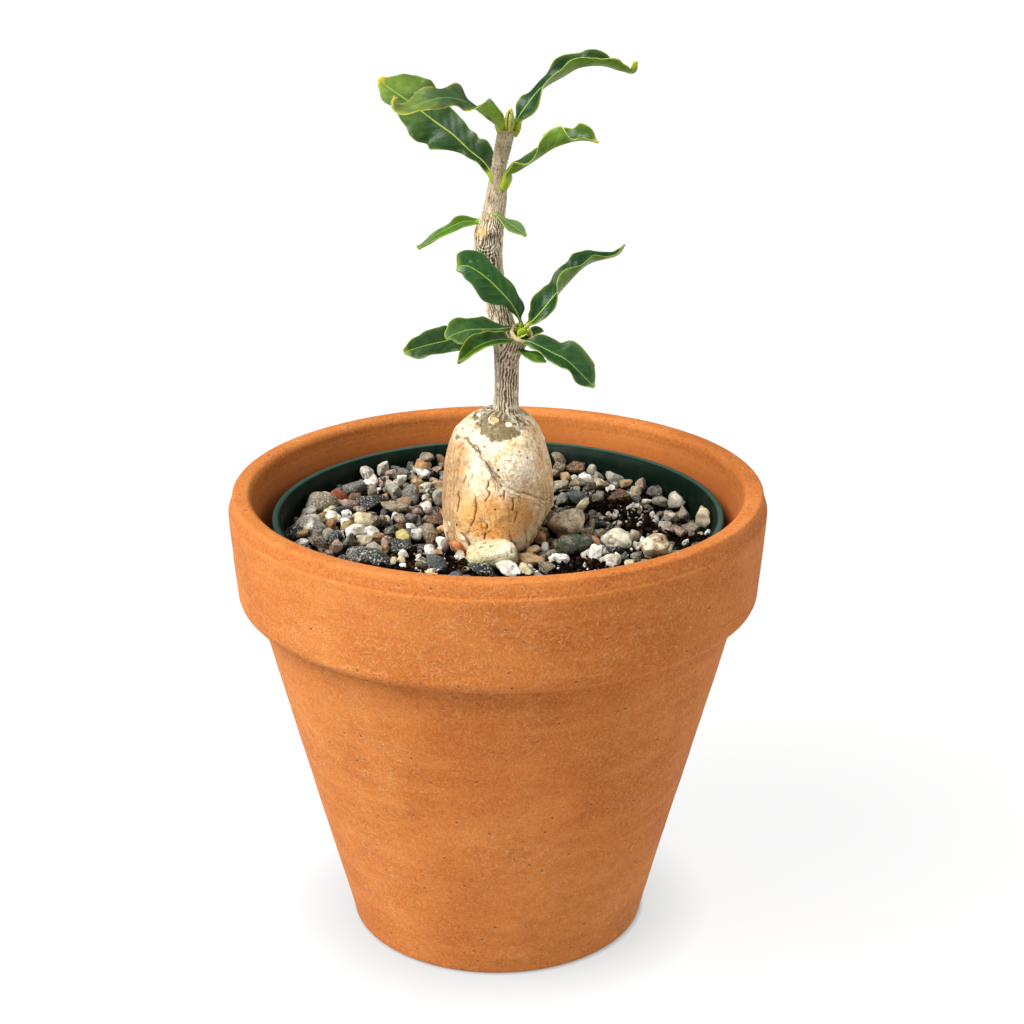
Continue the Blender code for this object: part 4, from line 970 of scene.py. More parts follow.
# Points with the colour and the relief in mm that are laid on them, one layer over the other
class Skin:
    def __init__(self, points, outward, tones):
        self.points, self.outward, self.tones = points, outward, tones
        self.height = points[..., 2]

    def noise(self, size, seed, octaves=1, stretch=(1, 1, 1), shift=0):
        return noise(self.points * stretch + shift, size, seed, octaves)

    def away(self, place, stretch=(1, 1, 1)):
        return farFrom(self.points, place, stretch)

    # Lays on a colour, or the colour of a name times a brightness
    def lay(self, tone, share, bright=1.0):
        self.tint = mixTint(self.tint, self.tones[tone] * bright if isinstance(tone, str) else tone, share)

    def raised(self, share=1.0):
        return self.points + self.outward * (self.relief * share)[..., None]


rootShape = dict(
    profile=((136.0, 0.0), (135.8, 3.6), (134.6, 6.6), (132.6, 9.2), (128.6, 11.5), (123.0, 13.1),
             (116.5, 13.95), (110.0, 14.0), (105.0, 13.3), (101.0, 11.6), (96.0, 8.6), (92.0, 5.2),
             (90.0, 0.0)),
    # the foot draws in at the front right, from the first height down to the second, by the last value
    taper=(113.0, 104.0, 2.5),
    lean=1.2, around=(285, 145), rows=208, buriedRows=12, fineAbove=99.0, lowest=90.1, tail=(-1.44, 0, 90.2),
    relief=0.85)
rootTones = paints(
    cream=(255, 243, 212), tan=(228, 190, 132), fibreDark=(158, 114, 70), fibrePale=(192, 158, 110),
    orange=(242, 184, 110), deepOrange=(222, 140, 62), right=(250, 216, 164), plate=(240, 224, 190),
    olive=(110, 100, 64), oliveDark=(66, 60, 40), crack=(34, 24, 17), mainCrack=(92, 94, 82),
    pale=(255, 244, 216), cut=(236, 190, 122), rightFoot=(152, 114, 76), fissure=(122, 90, 60),
    soiled=(120, 88, 58), streak=(176, 124, 72), spot=(150, 104, 60), net=(164, 116, 66))

# Places on the root: angle in degrees, with the front at -90, height in mm, and for some a size in mm
rootMarks = dict(
    oliveEdge=((-180, 134.6), (-138, 134.2), (-127, 133.0), (-112, 131.8), (-87, 130.6), (-70, 131.2),
        (-52, 131.9), (-40, 132.6), (-20, 134.0), (30, 134.2), (80, 133.0), (120, 133.6), (180, 134.6)),
    scar=(-97.2, 134.8), bulge=(-68.5, 124.9), ridgeMiddle=(-40.5, 123.9),
    orangeAreas=((-131.3, 123.0, 1.6), (-85.9, 123.2, 1.0), (-120.9, 112.6, 3.4), (-96.5, 115.6, 3.6),
        (-64.9, 115.4, 3.0), (-105.7, 109.8, 3.0), (-82.0, 111.0, 4.5), (-58.0, 112.0, 3.0),
        (-72.0, 130.0, 1.6), (-112.0, 114.0, 3.4), (-92.0, 108.5, 3.4), (-70.0, 107.5, 2.6),
        (-74.0, 113.5, 3.0)),
    mainCrackLine=((-157.7, 129.9), (-135.8, 130.6), (-121.7, 129.3), (-111.7, 128.2), (-103.2, 126.0),
        (-95.4, 124.0), (-89.9, 122.2), (-86.1, 120.4)),
    foldLine=((-86.0, 121.6), (-79.4, 120.0), (-70.0, 118.8), (-59.1, 117.8), (-47.0, 116.3), (-31.7, 114.6),
        (-16.0, 114.2)),
    ridgeLine=((-47.5, 127.2), (-35.1, 125.0), (-32.6, 122.1), (-40.2, 120.7), (-46.5, 123.2),
        (-47.5, 127.2)),
    cracks=(((-111.4, 116.9), (-110.5, 113.8), (-112.5, 111.4), (-118.1, 107.7)), ((-99.2, 121.6),
        (-100.4, 119.7), (-97.8, 118.8), (-100.8, 116.7)), ((-83.9, 119.4), (-83.7, 117.2)), ((-74.6, 117.2),
        (-74.3, 114.5)), ((-133.4, 118.0), (-133.2, 115.3), (-132.9, 112.7)), ((-98.4, 111.0),
        (-99.9, 106.9)), ((-125.9, 107.6), (-116.8, 104.6))),
    fineCracks=(((-119.0, 129.9), (-108.5, 127.2), (-99.5, 124.8), (-94.5, 122.4), (-91.5, 119.6)),
        ((-104.0, 127.6), (-97.0, 125.6), (-90.5, 123.2), (-84.0, 121.9)), ((-135.8, 130.6), (-131.0, 132.4)),
        ((-135.8, 130.6), (-140.0, 128.2)), ((-95.4, 124.0), (-90.0, 120.8), (-86.5, 117.8)), ((-70.0, 114.0),
        (-71.6, 111.1)), ((-124.1, 122.1), (-131.3, 119.2), (-133.2, 115.9)), ((-141.0, 106.0),
        (-137.0, 103.5)), ((-92.0, 107.5), (-88.0, 104.2)), ((-76.0, 109.5), (-72.0, 105.5)), ((-58.0, 108.5),
        (-52.0, 104.5)), ((-117.5, 123.0), (-121.0, 119.8)), ((-106.0, 112.6), (-104.0, 110.0))),
    dots=((-89.3, 124.4, 0.3), (-106.4, 129.5, 0.22), (-63.3, 128.1, 0.18), (-63.1, 127.2, 0.16),
        (-72.0, 129.0, 0.14), (-92.0, 114.8, 0.25), (-133.5, 109.2, 0.3), (-98.0, 127.2, 0.12),
        (-55.0, 126.4, 0.18)),
    flecks=((-69.2, 134.0, 0.75), (-148.5, 135.1, 0.6), (-104.0, 105.4, 0.7), (-45.0, 113.8, 0.45),
        (-36.0, 109.0, 0.5), (-49.0, 120.5, 0.5), (-128.0, 106.2, 1.0), (-147.0, 108.5, 0.6),
        (-86.5, 118.9, 0.55)),
    warts=((-14.1, 133.1, 1.0), (-12.3, 124.0, 1.1), (-14.2, 117.5, 1.2), (-25.2, 121.9, 0.6),
        (-10.0, 112.0, 0.9), (-4.0, 128.5, 0.7)))


def rootShift(z):
    return -rootShape["lean"] * np.clip((116.0 - z) / 14.0, 0, 1.2)


# Radius times its slow lumps: two waves round and three waves round, both turning with height
def rootPoints(angle, r, z):
    lumps = 1 + 0.022 * np.sin(2 * angle + 0.6 + 0.09 * z) + 0.016 * np.sin(3 * angle - 0.16 * z)
    high, low, most = rootShape["taper"]
    left = (np.cos(angle) < 0) * np.cos(angle) ** 2
    inward = ease(high, low, z) * (most * bell(np.degrees(angle) + 12, 34) + 0.6 * left)
    shoulder = 0.8 * ease(130.5, 133.5, z) * ease(-0.2, -0.9, np.cos(angle))
    r = r * lumps - (inward + shoulder) * ease(2, 8, r)
    return np.stack([r * np.cos(angle) + rootShift(z), r * np.sin(angle), z + 0 * r], -1)


def rootPlace(marks):
    marks = np.atleast_2d(np.asarray(marks, float))
    line = smoothLine([(r, 0.0, z) for z, r in rootShape["profile"]], 600)
    radius = np.interp(marks[:, 1], line[::-1, 2], line[::-1, 0])
    return rootPoints(np.radians(marks[:, 0]), radius, marks[:, 1])


# The same marks again at the back, mirrored, moved round and up or down a little
def behind(marks, turn=9.0, rise=-1.2):
    return [(-angle + turn, z + rise, *rest) for angle, z, *rest in marks]


def andBehind(label, turn=9.0):
    return [*rootMarks[label], *behind(rootMarks[label], turn)]


# The profile turned round a leaning line, with more columns in the half that the photograph shows
def rootSkin():
    shape = rootShape
    line = smoothLine([(r, 0.0, z) for z, r in shape["profile"]], 3000)
    length = np.concatenate([[0], np.cumsum(np.linalg.norm(np.diff(line, axis=0), axis=1))])
    split = np.interp(-shape["fineAbove"], -line[:, 2], length)
    stops = np.concatenate([np.linspace(0.12, split, shape["rows"]),
                            np.linspace(split, length[-1] - 0.5, shape["buriedRows"] + 1)[1:]])
    r, z = (np.interp(stops, length, line[:, k])[:, None] for k in (0, 2))
    slopeR, slopeZ = (np.gradient(part[:, 0], stops)[:, None] for part in (r, z))
    front, back = shape["around"]
    angle = np.concatenate([
        np.arange(front) * 180 / front - 180, np.arange(back) * 180 / back])[None, :] + 0.3
    turn = np.radians(angle)
    skin = Skin(rootPoints(turn, np.maximum(r, 0.02), z),
                np.stack([-slopeZ * np.cos(turn), -slopeZ * np.sin(turn), slopeR + 0 * turn], -1), rootTones)
    skin.angle, skin.side = angle, np.cos(turn) + 0 * z
    skin.fade = ease(97, 99, z) * ease(0.0, 2.5, r)
    skin.slow, skin.middle, skin.small = (skin.noise(size, seed, 3) for size, seed in (
        (7.0, 131), (2.4, 133), (0.8, 135)))
    return skin


# Ground colours: cream up and right of the middle, tan with upright fibres on the left, brown tan on the
# right, painted lighter than its own colour there as painted light against the shade, an orange field round
# the lower half with soft areas, and whitish plates with brown gaps at the foot
def layGround(skin):
    tone, height, side = rootTones, skin.height, skin.side
    slow, middle, small = skin.slow, skin.middle, skin.small
    skin.relief = 0.35 * slow + 0.10 * middle + 0.05 * small
    skin.tint = mixTint(tone["cream"], tone["tan"], ease(-0.5, 0.7, slow + 0.6 * middle) * 0.8)
    fibre = skin.noise(0.75, 137, 3, (1, 1, 0.16))
    skin.left = ease(-0.42, -0.72, side + 0.12 * middle) * ease(133, 128, height)
    skin.lay(mixTint(tone["fibrePale"], tone["fibreDark"], ease(-0.5, 0.55, fibre)), skin.left * 0.9)
    skin.relief += 0.06 * fibre * np.maximum(skin.left, 0.25)
    # painted light: the right side's tan is painted lighter than its own colour, to make up for the shade
    # there
    skin.right = ease(0.45, 0.8, side + 0.15 * middle)
    skin.lay("right", skin.right * (0.75 + 0.25 * middle))
    rightFibre = skin.noise(1.3, 139, 3, (1, 1, 0.3), (0, 0, 40))
    skin.lay("fibreDark", skin.right * ease(0.1, 0.7, rightFibre) * 0.35, 0.75)
    skin.relief += 0.22 * rightFibre * skin.right

    field = ease(120.5, 116.0, height + 1.6 * slow + 0.8 * middle) * ease(105.0, 109.0, height + middle)
    skin.lay("orange", field * ease(0.78, 0.5, np.abs(side + 0.02)) * (0.72 + 0.4 * middle))
    for *place, size in andBehind("orangeAreas"):
        near = skin.away(rootPlace(place)) + 0.9 * middle
        skin.lay("orange", ease(size * 1.15, size * 0.35, near) * 0.55)
        skin.lay("deepOrange", ease(size * 0.7, size * 0.1, near + 0.6 * small) * 0.4)

    foot = ease(108.5, 105.0, height + 1.4 * middle)
    plates = skin.noise(2.6, 141, 1, (1, 1, 0.8))
    gap = ease(0.13, 0.03, np.abs(plates)) * foot
    skin.lay("plate", foot * ease(-0.15, 0.25, plates) * 0.8)
    skin.lay("fibreDark", gap * 0.7, 0.45)
    skin.relief += foot * (0.25 * ease(-0.1, 0.3, plates)) - 0.15 * gap
    rightFoot = ease(0.5, 0.8, side) * ease(110, 105, height)
    skin.lay("rightFoot", rightFoot * ease(-0.1, 0.5, rightFibre) * 0.8)


# The cream cheek above the fold, with faint rings near its edge, and the freckles and blotches round it
def layCheek(skin):
    height, middle = skin.height, skin.middle
    for place, share in ((rootMarks["bulge"], 0.95), (behind([rootMarks["bulge"]], rise=-2.5)[0], 0.55)):
        near = skin.away(rootPlace(place), (1.0, 1.0, 0.86))
        rings = np.sin(near * 5.2 + 1.5 * middle)
        skin.lay("pale", ease(7.6, 3.2, near + 1.8 * middle) * share)
        skin.lay("tan", ease(6.3, 5.6, near) * ease(4.4, 5.2, near) * ease(0.1, 0.9, rings) * 0.3)
        skin.relief += (0.36 * ease(8.4, 0.5, near) +
                        0.012 * rings * ease(6.4, 5.4, near) * ease(3.4, 4.4, near))
    skin.lay("fibreDark", ease(0.36, 0.6, skin.noise(0.55, 143)) * ease(117, 122, height) * 0.5)
    blotch = ease(0.2, 0.5, skin.noise(1.7, 144, 3, shift=15)) * ease(114, 120, height)
    skin.lay(rootTones["orange"] * (0.95, 0.96, 0.9), blotch * (1 - skin.left) * 0.6)


# The fold under the cheek, lines that follow it as a wave of the height below it, and the ridge at its right
def layFold(skin):
    angle, middle, small = skin.angle, skin.middle, skin.small
    for marks in (rootMarks["foldLine"], behind(rootMarks["foldLine"], rise=-2.5)[::-1]):
        away = lineDistance(skin.points, rootPlace(marks)) + 0.12 * middle + 0.08 * small
        foldAngle, foldHeight = np.array(marks).T
        below = np.interp(angle[0], foldAngle, foldHeight)[None, :] - skin.height
        within = (ease(foldAngle[0] - 2, foldAngle[0] + 8, angle) *
                  ease(foldAngle[-1] + 2, foldAngle[-1] - 8, angle))
        skin.relief -= 0.28 * bell(away, 0.34)
        skin.lay("fibreDark", bell(away, 0.22) * (0.6 + 0.5 * middle), 0.5)
        waves = np.cos(2 * np.pi * (below + 0.95 * middle + 0.4 * small) / 0.8) * bell(below - 1.2, 2.2)
        waves = waves * within * (below > -0.4)
        skin.relief += 0.03 * waves
        skin.lay("fibreDark", ease(-0.4, -0.95, waves) * (0.45 + 0.5 * small), 0.6)
        skin.lay("pale", ease(0.3, 0.9, waves) * 0.4)
    ridge = lineDistance(skin.points, rootPlace(rootMarks["ridgeLine"]))
    skin.relief += 0.22 * bell(ridge, 0.5)
    skin.lay("pale", bell(ridge, 0.45) * 0.6)
    skin.lay("orange", ease(2.2, 1.0, skin.away(rootPlace(rootMarks["ridgeMiddle"]))) * 0.4)


# Grey olive growth round the stem's foot, with pale and dark ribs that run out from it, and worn shoulders
def layCrown(skin):
    tone, height, middle, small = rootTones, skin.height, skin.middle, skin.small
    edge = np.interp(skin.angle[0], *np.array(rootMarks["oliveEdge"]).T)[None, :]
    share = ease(-0.4, 0.4, height - edge + 1.3 * skin.noise(1.5, 145, 3) + 0.5 * small)
    growth = mixTint(tone["olive"], tone["oliveDark"], ease(-0.3, 0.5, small + 0.5 * middle))
    growth = mixTint(growth, tone["pale"] * 0.75, ease(0.35, 0.7, skin.noise(0.42, 146)) * 0.25)
    growth = mixTint(growth, tone["oliveDark"] * 0.45, ease(0.35, 0.7, skin.noise(0.38, 148)) * 0.7)
    skin.lay(growth, share * 0.93)
    x, y = skin.points[..., 0] - 2.0, skin.points[..., 1]
    ribs = np.cos(22 * np.arctan2(y, x) + 2.2 * middle) * ease(7.2, 4.2, np.hypot(x, y) + 0.8 * middle)
    ribs *= ease(131, 134, height)
    skin.lay("pale", ease(0.2, 0.8, ribs) * 0.55, 0.85)
    skin.lay("oliveDark", ease(-0.3, -0.9, ribs) * 0.5, 0.6)
    skin.relief += 0.08 * ribs
    worn = ease(-0.5, -0.85, skin.side) * ease(129.5, 131.5, height)
    worn += ease(0.35, 0.6, skin.side) * ease(132.0, 133.2, height)
    skin.lay(mixTint(tone["pale"], tone["oliveDark"], ease(-0.05, 0.3, small)), np.clip(worn, 0, 1) * 0.5)


# Cracks: a groove with a dark floor, whose width changes along it. The main one has strands beside it, each
# broken in its own places.
def layCracks(skin):
    for label, depth, width, strength in (("cracks", 0.28, 0.19, 1.0), ("fineCracks", 0.12, 0.14, 0.8)):
        for crack in [*rootMarks[label], *map(behind, rootMarks[label])]:
            away = lineDistance(skin.wavy, rootPlace(crack)) / (1 + 0.45 * skin.noise(1.1, 151))
            skin.relief -= depth * bell(away, width * 1.2)
            skin.lay("deepOrange", bell(away, width * 3) * 0.3)
            skin.lay("crack", bell(away, width, 3) * strength)
    wide = 0.66 + 0.34 * skin.noise(1.7, 153)
    broken = ease(-0.25, 0.15, skin.noise(0.62, 155, 2))
    for crack in (rootMarks["mainCrackLine"], behind(rootMarks["mainCrackLine"], rise=-2.0)):
        away = lineDistance(skin.wavy, rootPlace(crack))
        skin.relief -= 0.22 * bell(away, wide)
        skin.lay("mainCrack", bell(away, wide, 3) * broken * 0.6)
        skin.lay("crack", bell(away, 0.17) * ease(-0.6, 0.0, skin.middle) * 0.95, 0.7)
        for strand, apart in enumerate((0.42, 0.8)):
            line = bell(away - apart - 0.3 * skin.noise(1.0, 156 + strand), 0.14)
            line *= ease(-0.15, 0.2, skin.noise(1.5, 158 + strand)) * (1.0 - 0.2 * strand)
            skin.lay("crack", line, 0.6)
            skin.relief -= 0.08 * line
        skin.lay("pale", bell(away - wide * 1.3, 0.25) * 0.4)


# Dots, pale flecks, warts, and the scar of a lost branch: a pale ring round a flat orange cut, edged dark
def laySmallMarks(skin):
    middle, small = skin.middle, skin.small
    for *place, size in andBehind("dots"):
        away = skin.away(rootPlace(place)) / size
        skin.lay("crack", ease(1.5, 0.8, away))
        skin.relief -= 0.2 * bell(away, 1)
    for *place, size in andBehind("flecks"):
        away = farFrom(skin.wavy, rootPlace(place), (1.25, 1.25, 0.8)) / size
        skin.lay("pale", ease(1.15, 0.75, away))
        skin.relief += 0.12 * ease(1.3, 0.6, away)
    for *place, size in andBehind("warts", 30):
        away = farFrom(skin.wavy, rootPlace(place), (1, 1, 1.15)) / size
        skin.lay("pale", ease(1.2, 0.7, away) * 0.9)
        skin.relief += 0.5 * ease(1.5, 0.3, away)
    x, y, z = np.moveaxis(skin.points - rootPlace(rootMarks["scar"]), -1, 0)
    across, up = 0.92 * x - 0.39 * z, 0.39 * x + 0.92 * z
    away = np.sqrt((across / 1.2) ** 2 + (y / 1.2) ** 2 + (up / 0.66) ** 2) + 0.16 * middle + 0.1 * small
    skin.relief += 0.45 * ease(1.7, 1.0, away) - 0.25 * ease(0.95, 0.8, away)
    skin.lay("pale", ease(1.75, 1.25, away + 0.2 * small) * ease(0.5, -0.3, across + 0.4 * small) * 0.85)
    skin.lay("crack", ease(1.12, 1.0, away))
    skin.lay("cut", ease(0.95, 0.84, away))


# Hairlines where a noise is near its middle value, weaker on the right, a mottle, and fissured bark at the
# lower right
def layHairlines(skin):
    wide = ease(0.07, 0.015, np.abs(noise(skin.wavy * (1, 1, 1.5), 1.5, 161)))
    lines = np.maximum(wide, 0.7 * ease(0.06, 0.015, np.abs(noise(skin.wavy + 30, 1.0, 163))))
    lines *= ease(-0.2, 0.3, skin.noise(3.4, 165, 2)) * (1 - 0.7 * skin.right)
    skin.lay("fibreDark", lines * 0.5, 0.55)
    mottle = skin.noise(0.7, 167, 3)
    skin.lay("orange", ease(0.15, 0.6, mottle) * 0.25, 0.8)
    skin.tint = skin.tint * (1 + 0.13 * skin.small + 0.12 * mottle)[..., None]
    fissure = np.abs(skin.noise(1.1, 169, 1, (1, 1, 0.3), 60))
    lowRight = ease(0.5, 0.8, skin.side) * ease(122, 110, skin.height)
    skin.lay("fissure", lowRight * ease(0.3, 0.08, fissure) * 0.45)
    skin.relief += 0.05 * mottle - 0.06 * lines - lowRight * 0.25 * ease(0.25, 0.05, fissure)
    # darker towards the bottom, where the root goes into the gravel
    skin.lay("soiled", ease(104.5, 101.5, skin.height + skin.middle) * 0.55)


def makeRootSurface():
    surface = Surface("root_skin", 0.75, 0.25)
    surface.useTint()
    grain, streak = surface.noise(1500, 3), surface.noise(900, 3, 0.5, (1, 1, 0.35))
    net = surface.noise(540, 2, 0.6).off(0.5).span(0.022, 0.006) * surface.noise(160, 2).span(0.45, 0.58)
    surface.shade(grain.span(0.3, 0.7), (0.92, 0.9, 0.87), (1.27, 1.26, 1.25))
    surface.cover(rootTones["streak"], streak.span(0.54, 0.7, 0, 0.35))
    surface.cover(rootTones["spot"], surface.noise(1250, 1).span(0.35, 0.28, 0, 0.55))
    surface.cover(rootTones["net"], net * 0.5)
    surface.finish(grain + streak * 0.8 - net, 0.00014, 0.8)
    return surface


def makeRoot():
    skin = rootSkin()
    skin.wavy = skin.points + 0.22 * np.stack([skin.noise(1.3, 147 + k) for k in range(3)], -1)
    for layer in (layGround, layCheek, layFold, layCrown, layCracks, laySmallMarks, layHairlines):
        layer(skin)
    rings = skin.raised(skin.fade * rootShape["relief"])
    points, faces, tint = cappedRings(rings, skin.tint, endPole=rootShape["tail"])
    points[:, 2] = np.maximum(points[:, 2], rootShape["lowest"])
    addPiece("caudex_skin", [(points, faces, tint)], makeRootSurface(), ["caudex"])


makeRoot()


# Lines are x, y, z and radius in mm; a scar is x, y, z, size and strength
stemShape = dict(
    line=((2.0, 0.0, 133.4, 3.35), (2.0, 0.0, 136.5, 3.05), (2.1, 0.0, 142.0, 2.9), (2.2, 0.0, 148.0, 2.95),
          (1.8, 0.0, 153.0, 3.05), (0.9, 0.0, 158.0, 2.95), (-0.3, 0.0, 163.5, 2.8), (-1.4, 0.0, 168.5, 2.95),
          (-2.0, -0.2, 173.5, 3.05), (-2.1, -0.4, 178.0, 3.35), (-1.5, -0.3, 181.5, 3.1),
          (-0.7, 0.0, 185.0, 2.65), (0.0, 0.2, 190.0, 2.3), (0.3, 0.2, 194.5, 1.85), (1.2, 0.1, 199.0, 1.95),
          (2.2, 0.0, 203.8, 2.2)),
    shoot=((2.0, 0.2, 146.5, 2.4), (3.0, -2.2, 150.4, 2.5), (4.5, -4.4, 153.8, 2.4), (5.9, -6.4, 156.8, 2.6)),
    around=168, rows=500, shootAround=96, shootRows=90, foot=(2.0, 0.0, 133.0),
    scars=((-3.9, -2.6, 180.2, 1.7, 0.95), (-2.6, -3.0, 183.6, 0.7, 0.6), (-2.2, -2.9, 186.0, 0.45, 0.7)),
    swirl=(-3.1, -3.2, 179.2), smear=(-1.2, -3.8, 179.4), knot=(-1.9, -2.2, 188.1), bud=(-0.9, -3.0, 164.6),
    # the shoot ends in a pale ring of bark round a hollow: share of its radius, depth and colour of each ring
    hollow=((0.9, 0.12, (214, 190, 156)), (0.8, 0.0, (196, 168, 120)), (0.7, -0.45, (140, 128, 60)),
            (0.62, -1.0, (96, 104, 34))))
stemTones = paints(
    groove=(112, 86, 62), middle=(216, 188, 150), ridge=(255, 247, 220), slit=(58, 42, 30),
    smooth=(204, 188, 158), smoothDark=(122, 98, 74), scar=(226, 180, 120), scarPale=(242, 220, 180),
    ring=(206, 184, 152), foot=(120, 110, 84), streak=(122, 92, 62), weathered=(92, 80, 66),
    swirlDark=(70, 56, 44), swirlPale=(226, 212, 184), smear=(74, 66, 56), knot=(96, 80, 62),
    bud=(206, 172, 120), rim=(168, 130, 84), top=(150, 128, 84), hollow=(90, 110, 30))


# Rings round a line of x, y, z and radius: each ring lies across the line, and its start never twists
def tubeSkin(line, around):
    along = unit(np.gradient(line[:, :3], axis=0))
    side = unit(np.cross(along, (0.0, 1.0, 0.0)))[:, None]
    angle = evenTurn(around)[:, None]
    outward = side * np.cos(angle) + np.cross(side, along[:, None]) * np.sin(angle)
    skin = Skin(line[:, None, :3] + outward * line[:, None, 3:], outward, stemTones)
    skin.angle = angle.T
    return skin


# Bark: count lines run up the wood, bent by noise in mm and broken off here and there; 1 is wood, 0 groove
def barkNet(skin, radius, seed, count, bend):
    warp = bend * skin.noise(3.0, seed, 3, (1, 1, 0.42)) + 0.16 * skin.noise(0.6, seed + 3)
    lines = np.cos(count * skin.angle + warp * count / radius)
    return 1 - ease(-0.95, 0.6, lines) * ease(-0.75, -0.1, skin.noise(0.9, seed + 4, 1, (1, 1, 0.5)))


def barkTint(skin, net, fine):
    tone = stemTones
    share = np.clip(net + 0.22 * fine, 0, 1)
    rough = mixTint(mixTint(tone["groove"], tone["middle"], share * 2), tone["ridge"], share * 2 - 1)
    smooth = mixTint(tone["smooth"], tone["smoothDark"], ease(0.0, 0.6, fine) * 0.7)
    smooth = mixTint(smooth, tone["groove"], ease(0.35, 0.05, net) * 0.3)
    return mixTint(rough, smooth, ease(178, 188, skin.height))


# Bark with ribs that spread at the foot, curved lines on the bulge, scars, a knot and fine rings near the top
def stemShell():
    shape, tone = stemShape, stemTones
    line = smoothLine(shape["line"], shape["rows"])
    skin = tubeSkin(line, shape["around"])
    height, fine, slow = skin.height, skin.noise(0.5, 171, 3), skin.noise(3.2, 173, 2)
    net = barkNet(skin, 3.0, 175, 29, 1.15)
    skin.relief = (0.22 * net - 0.12) * (1 - 0.75 * ease(180, 188, height)) + 0.07 * fine + 0.16 * slow
    skin.tint = barkTint(skin, net, fine)
    flare = np.exp(-np.maximum(height - 134.6, 0) / 1.25)
    ribs = 0.5 + 0.5 * np.sin(7 * skin.angle + 2.0 * slow)
    skin.relief += flare * (0.05 + 0.55 * ribs)
    skin.lay("foot", flare * 0.4)
    streaks = ease(-0.1, 0.5, skin.noise(0.8, 176, 3, (1, 1, 0.2))) * ease(183, 189, height)
    skin.lay("streak", streaks * 0.5)
    skin.lay("weathered", ease(0.25, 0.75, skin.noise(2.4, 177, 3, (1, 1, 0.5))) * 0.25)

    away = skin.away(shape["swirl"], (1, 1, 1.25))
    across, _, up = np.moveaxis(skin.points - shape["swirl"], -1, 0)
    swirl = np.cos(2 * np.pi * (away + 0.35 * slow + 0.12 * fine) / 0.7)
    within = ease(1.4, 2.2, away) * ease(5.2, 3.8, away) * ease(-0.2, 0.5, 0.7 * across - 0.6 * up)
    within *= ease(0.0, 0.5, -skin.outward[..., 1])
    skin.relief += 0.10 * swirl * within
    skin.lay("swirlDark", ease(-0.3, -0.85, swirl) * within * 0.75)
    skin.lay("swirlPale", ease(0.2, 0.8, swirl) * within * 0.5)
    # painted shade: a dark patch on the front of the bulge where shade falls
    skin.lay("smear", ease(1.7, 0.5, skin.away(shape["smear"], (1.3, 1.0, 0.7)) + 0.5 * fine) * 0.75)
    for *place, size, strength in shape["scars"]:
        away = skin.away(place, (1, 1, 0.85)) / size
        skin.relief += 0.22 * ease(1.6, 1.0, away) - 0.1 * ease(0.9, 0.6, away)
        skin.lay("scar", ease(1.15, 0.75, away + 0.35 * fine) * strength)
        skin.lay("scarPale", ease(0.6, 0.2, away + 0.3 * fine) * strength * 0.6)
    knot, bud = skin.away(shape["knot"]), skin.away(shape["bud"])
    skin.relief += 0.3 * ease(1.4, 0.6, knot) + 0.5 * ease(0.95, 0.3, bud)
    skin.lay("knot", ease(0.8, 0.3, knot) * 0.7)
    skin.lay("bud", ease(1.0, 0.6, bud) * 0.8)

    top = ease(202.4, 203.4, height)
    skin.relief += top * 0.12 * ribs + 0.06 * np.sin(height * 7.0) * ease(190, 198, height)
    skin.lay("rim", top * 0.5)
    return cappedRings(skin.raised(), skin.tint, shape["foot"], line[-1, :3] - (0, 0, 0.25), tone["top"])


def shootShell():
    shape, tone = stemShape, stemTones
    line = smoothLine(shape["shoot"], shape["shootRows"])
    end = np.linspace(0, 1, shape["shootRows"])
    line[:, 3] *= 1 + 0.16 * ease(0.80, 0.97, end) - 0.10 * ease(0.97, 1.0, end)
    skin = tubeSkin(line, shape["shootAround"])
    fine, net, share = skin.noise(0.5, 181, 3), barkNet(skin, 2.5, 183, 20, 0.9), end[:, None]
    skin.relief = (0.26 * net - 0.14) * ease(0.97, 0.8, share) + 0.08 * fine
    skin.tint = barkTint(skin, net, fine)
    skin.lay(tone["ring"] * (1 + 0.12 * fine)[..., None], ease(0.78, 0.93, share) * 0.9)
    direction = unit(line[-1, :3] - line[-4, :3])
    rings, tints = [skin.raised()], [skin.tint]
    for inward, depth, ringTone in shape["hollow"]:
        rings.append((line[-1, :3] + skin.outward[-1] * line[-1, 3] * inward + direction * depth)[None])
        tints.append(skin.tint[:1] * 0 + paint(*ringTone))
    return cappedRings(np.vstack(rings), np.vstack(tints), endPole=line[-1, :3] - direction * 1.1,
                       endTint=tone["hollow"])


def makeStemSurface():
    surface = Surface("stem_bark", 0.85, 0.25)
    surface.useTint()
    height = surface.noise(2100, 3)
    surface.shade(height.span(0.3, 0.7), (0.84, 0.83, 0.81), (1.14, 1.14, 1.14))
    # two sets of fine upright slits where a stretched noise is near its middle value, fainter towards the top
    _, level = surface.reachAndLevel()
    where = level.span(0.174, 0.190, 1.0, 0.35) * surface.noise(300, 1).span(0.38, 0.5)
    for perMetre in (1150, 1900):
        slit = surface.noise(perMetre, 1, 0.5, (1, 1, 0.2)).off(0.5).span(0.03, 0.009) * where
        surface.cover(stemTones["slit"], slit * 0.25)
        height = height - slit
    surface.finish(height, 0.00014, 0.8)
    return surface


addPiece("stem_wood", [stemShell(), shootShell()], makeStemSurface(), ["stem"])


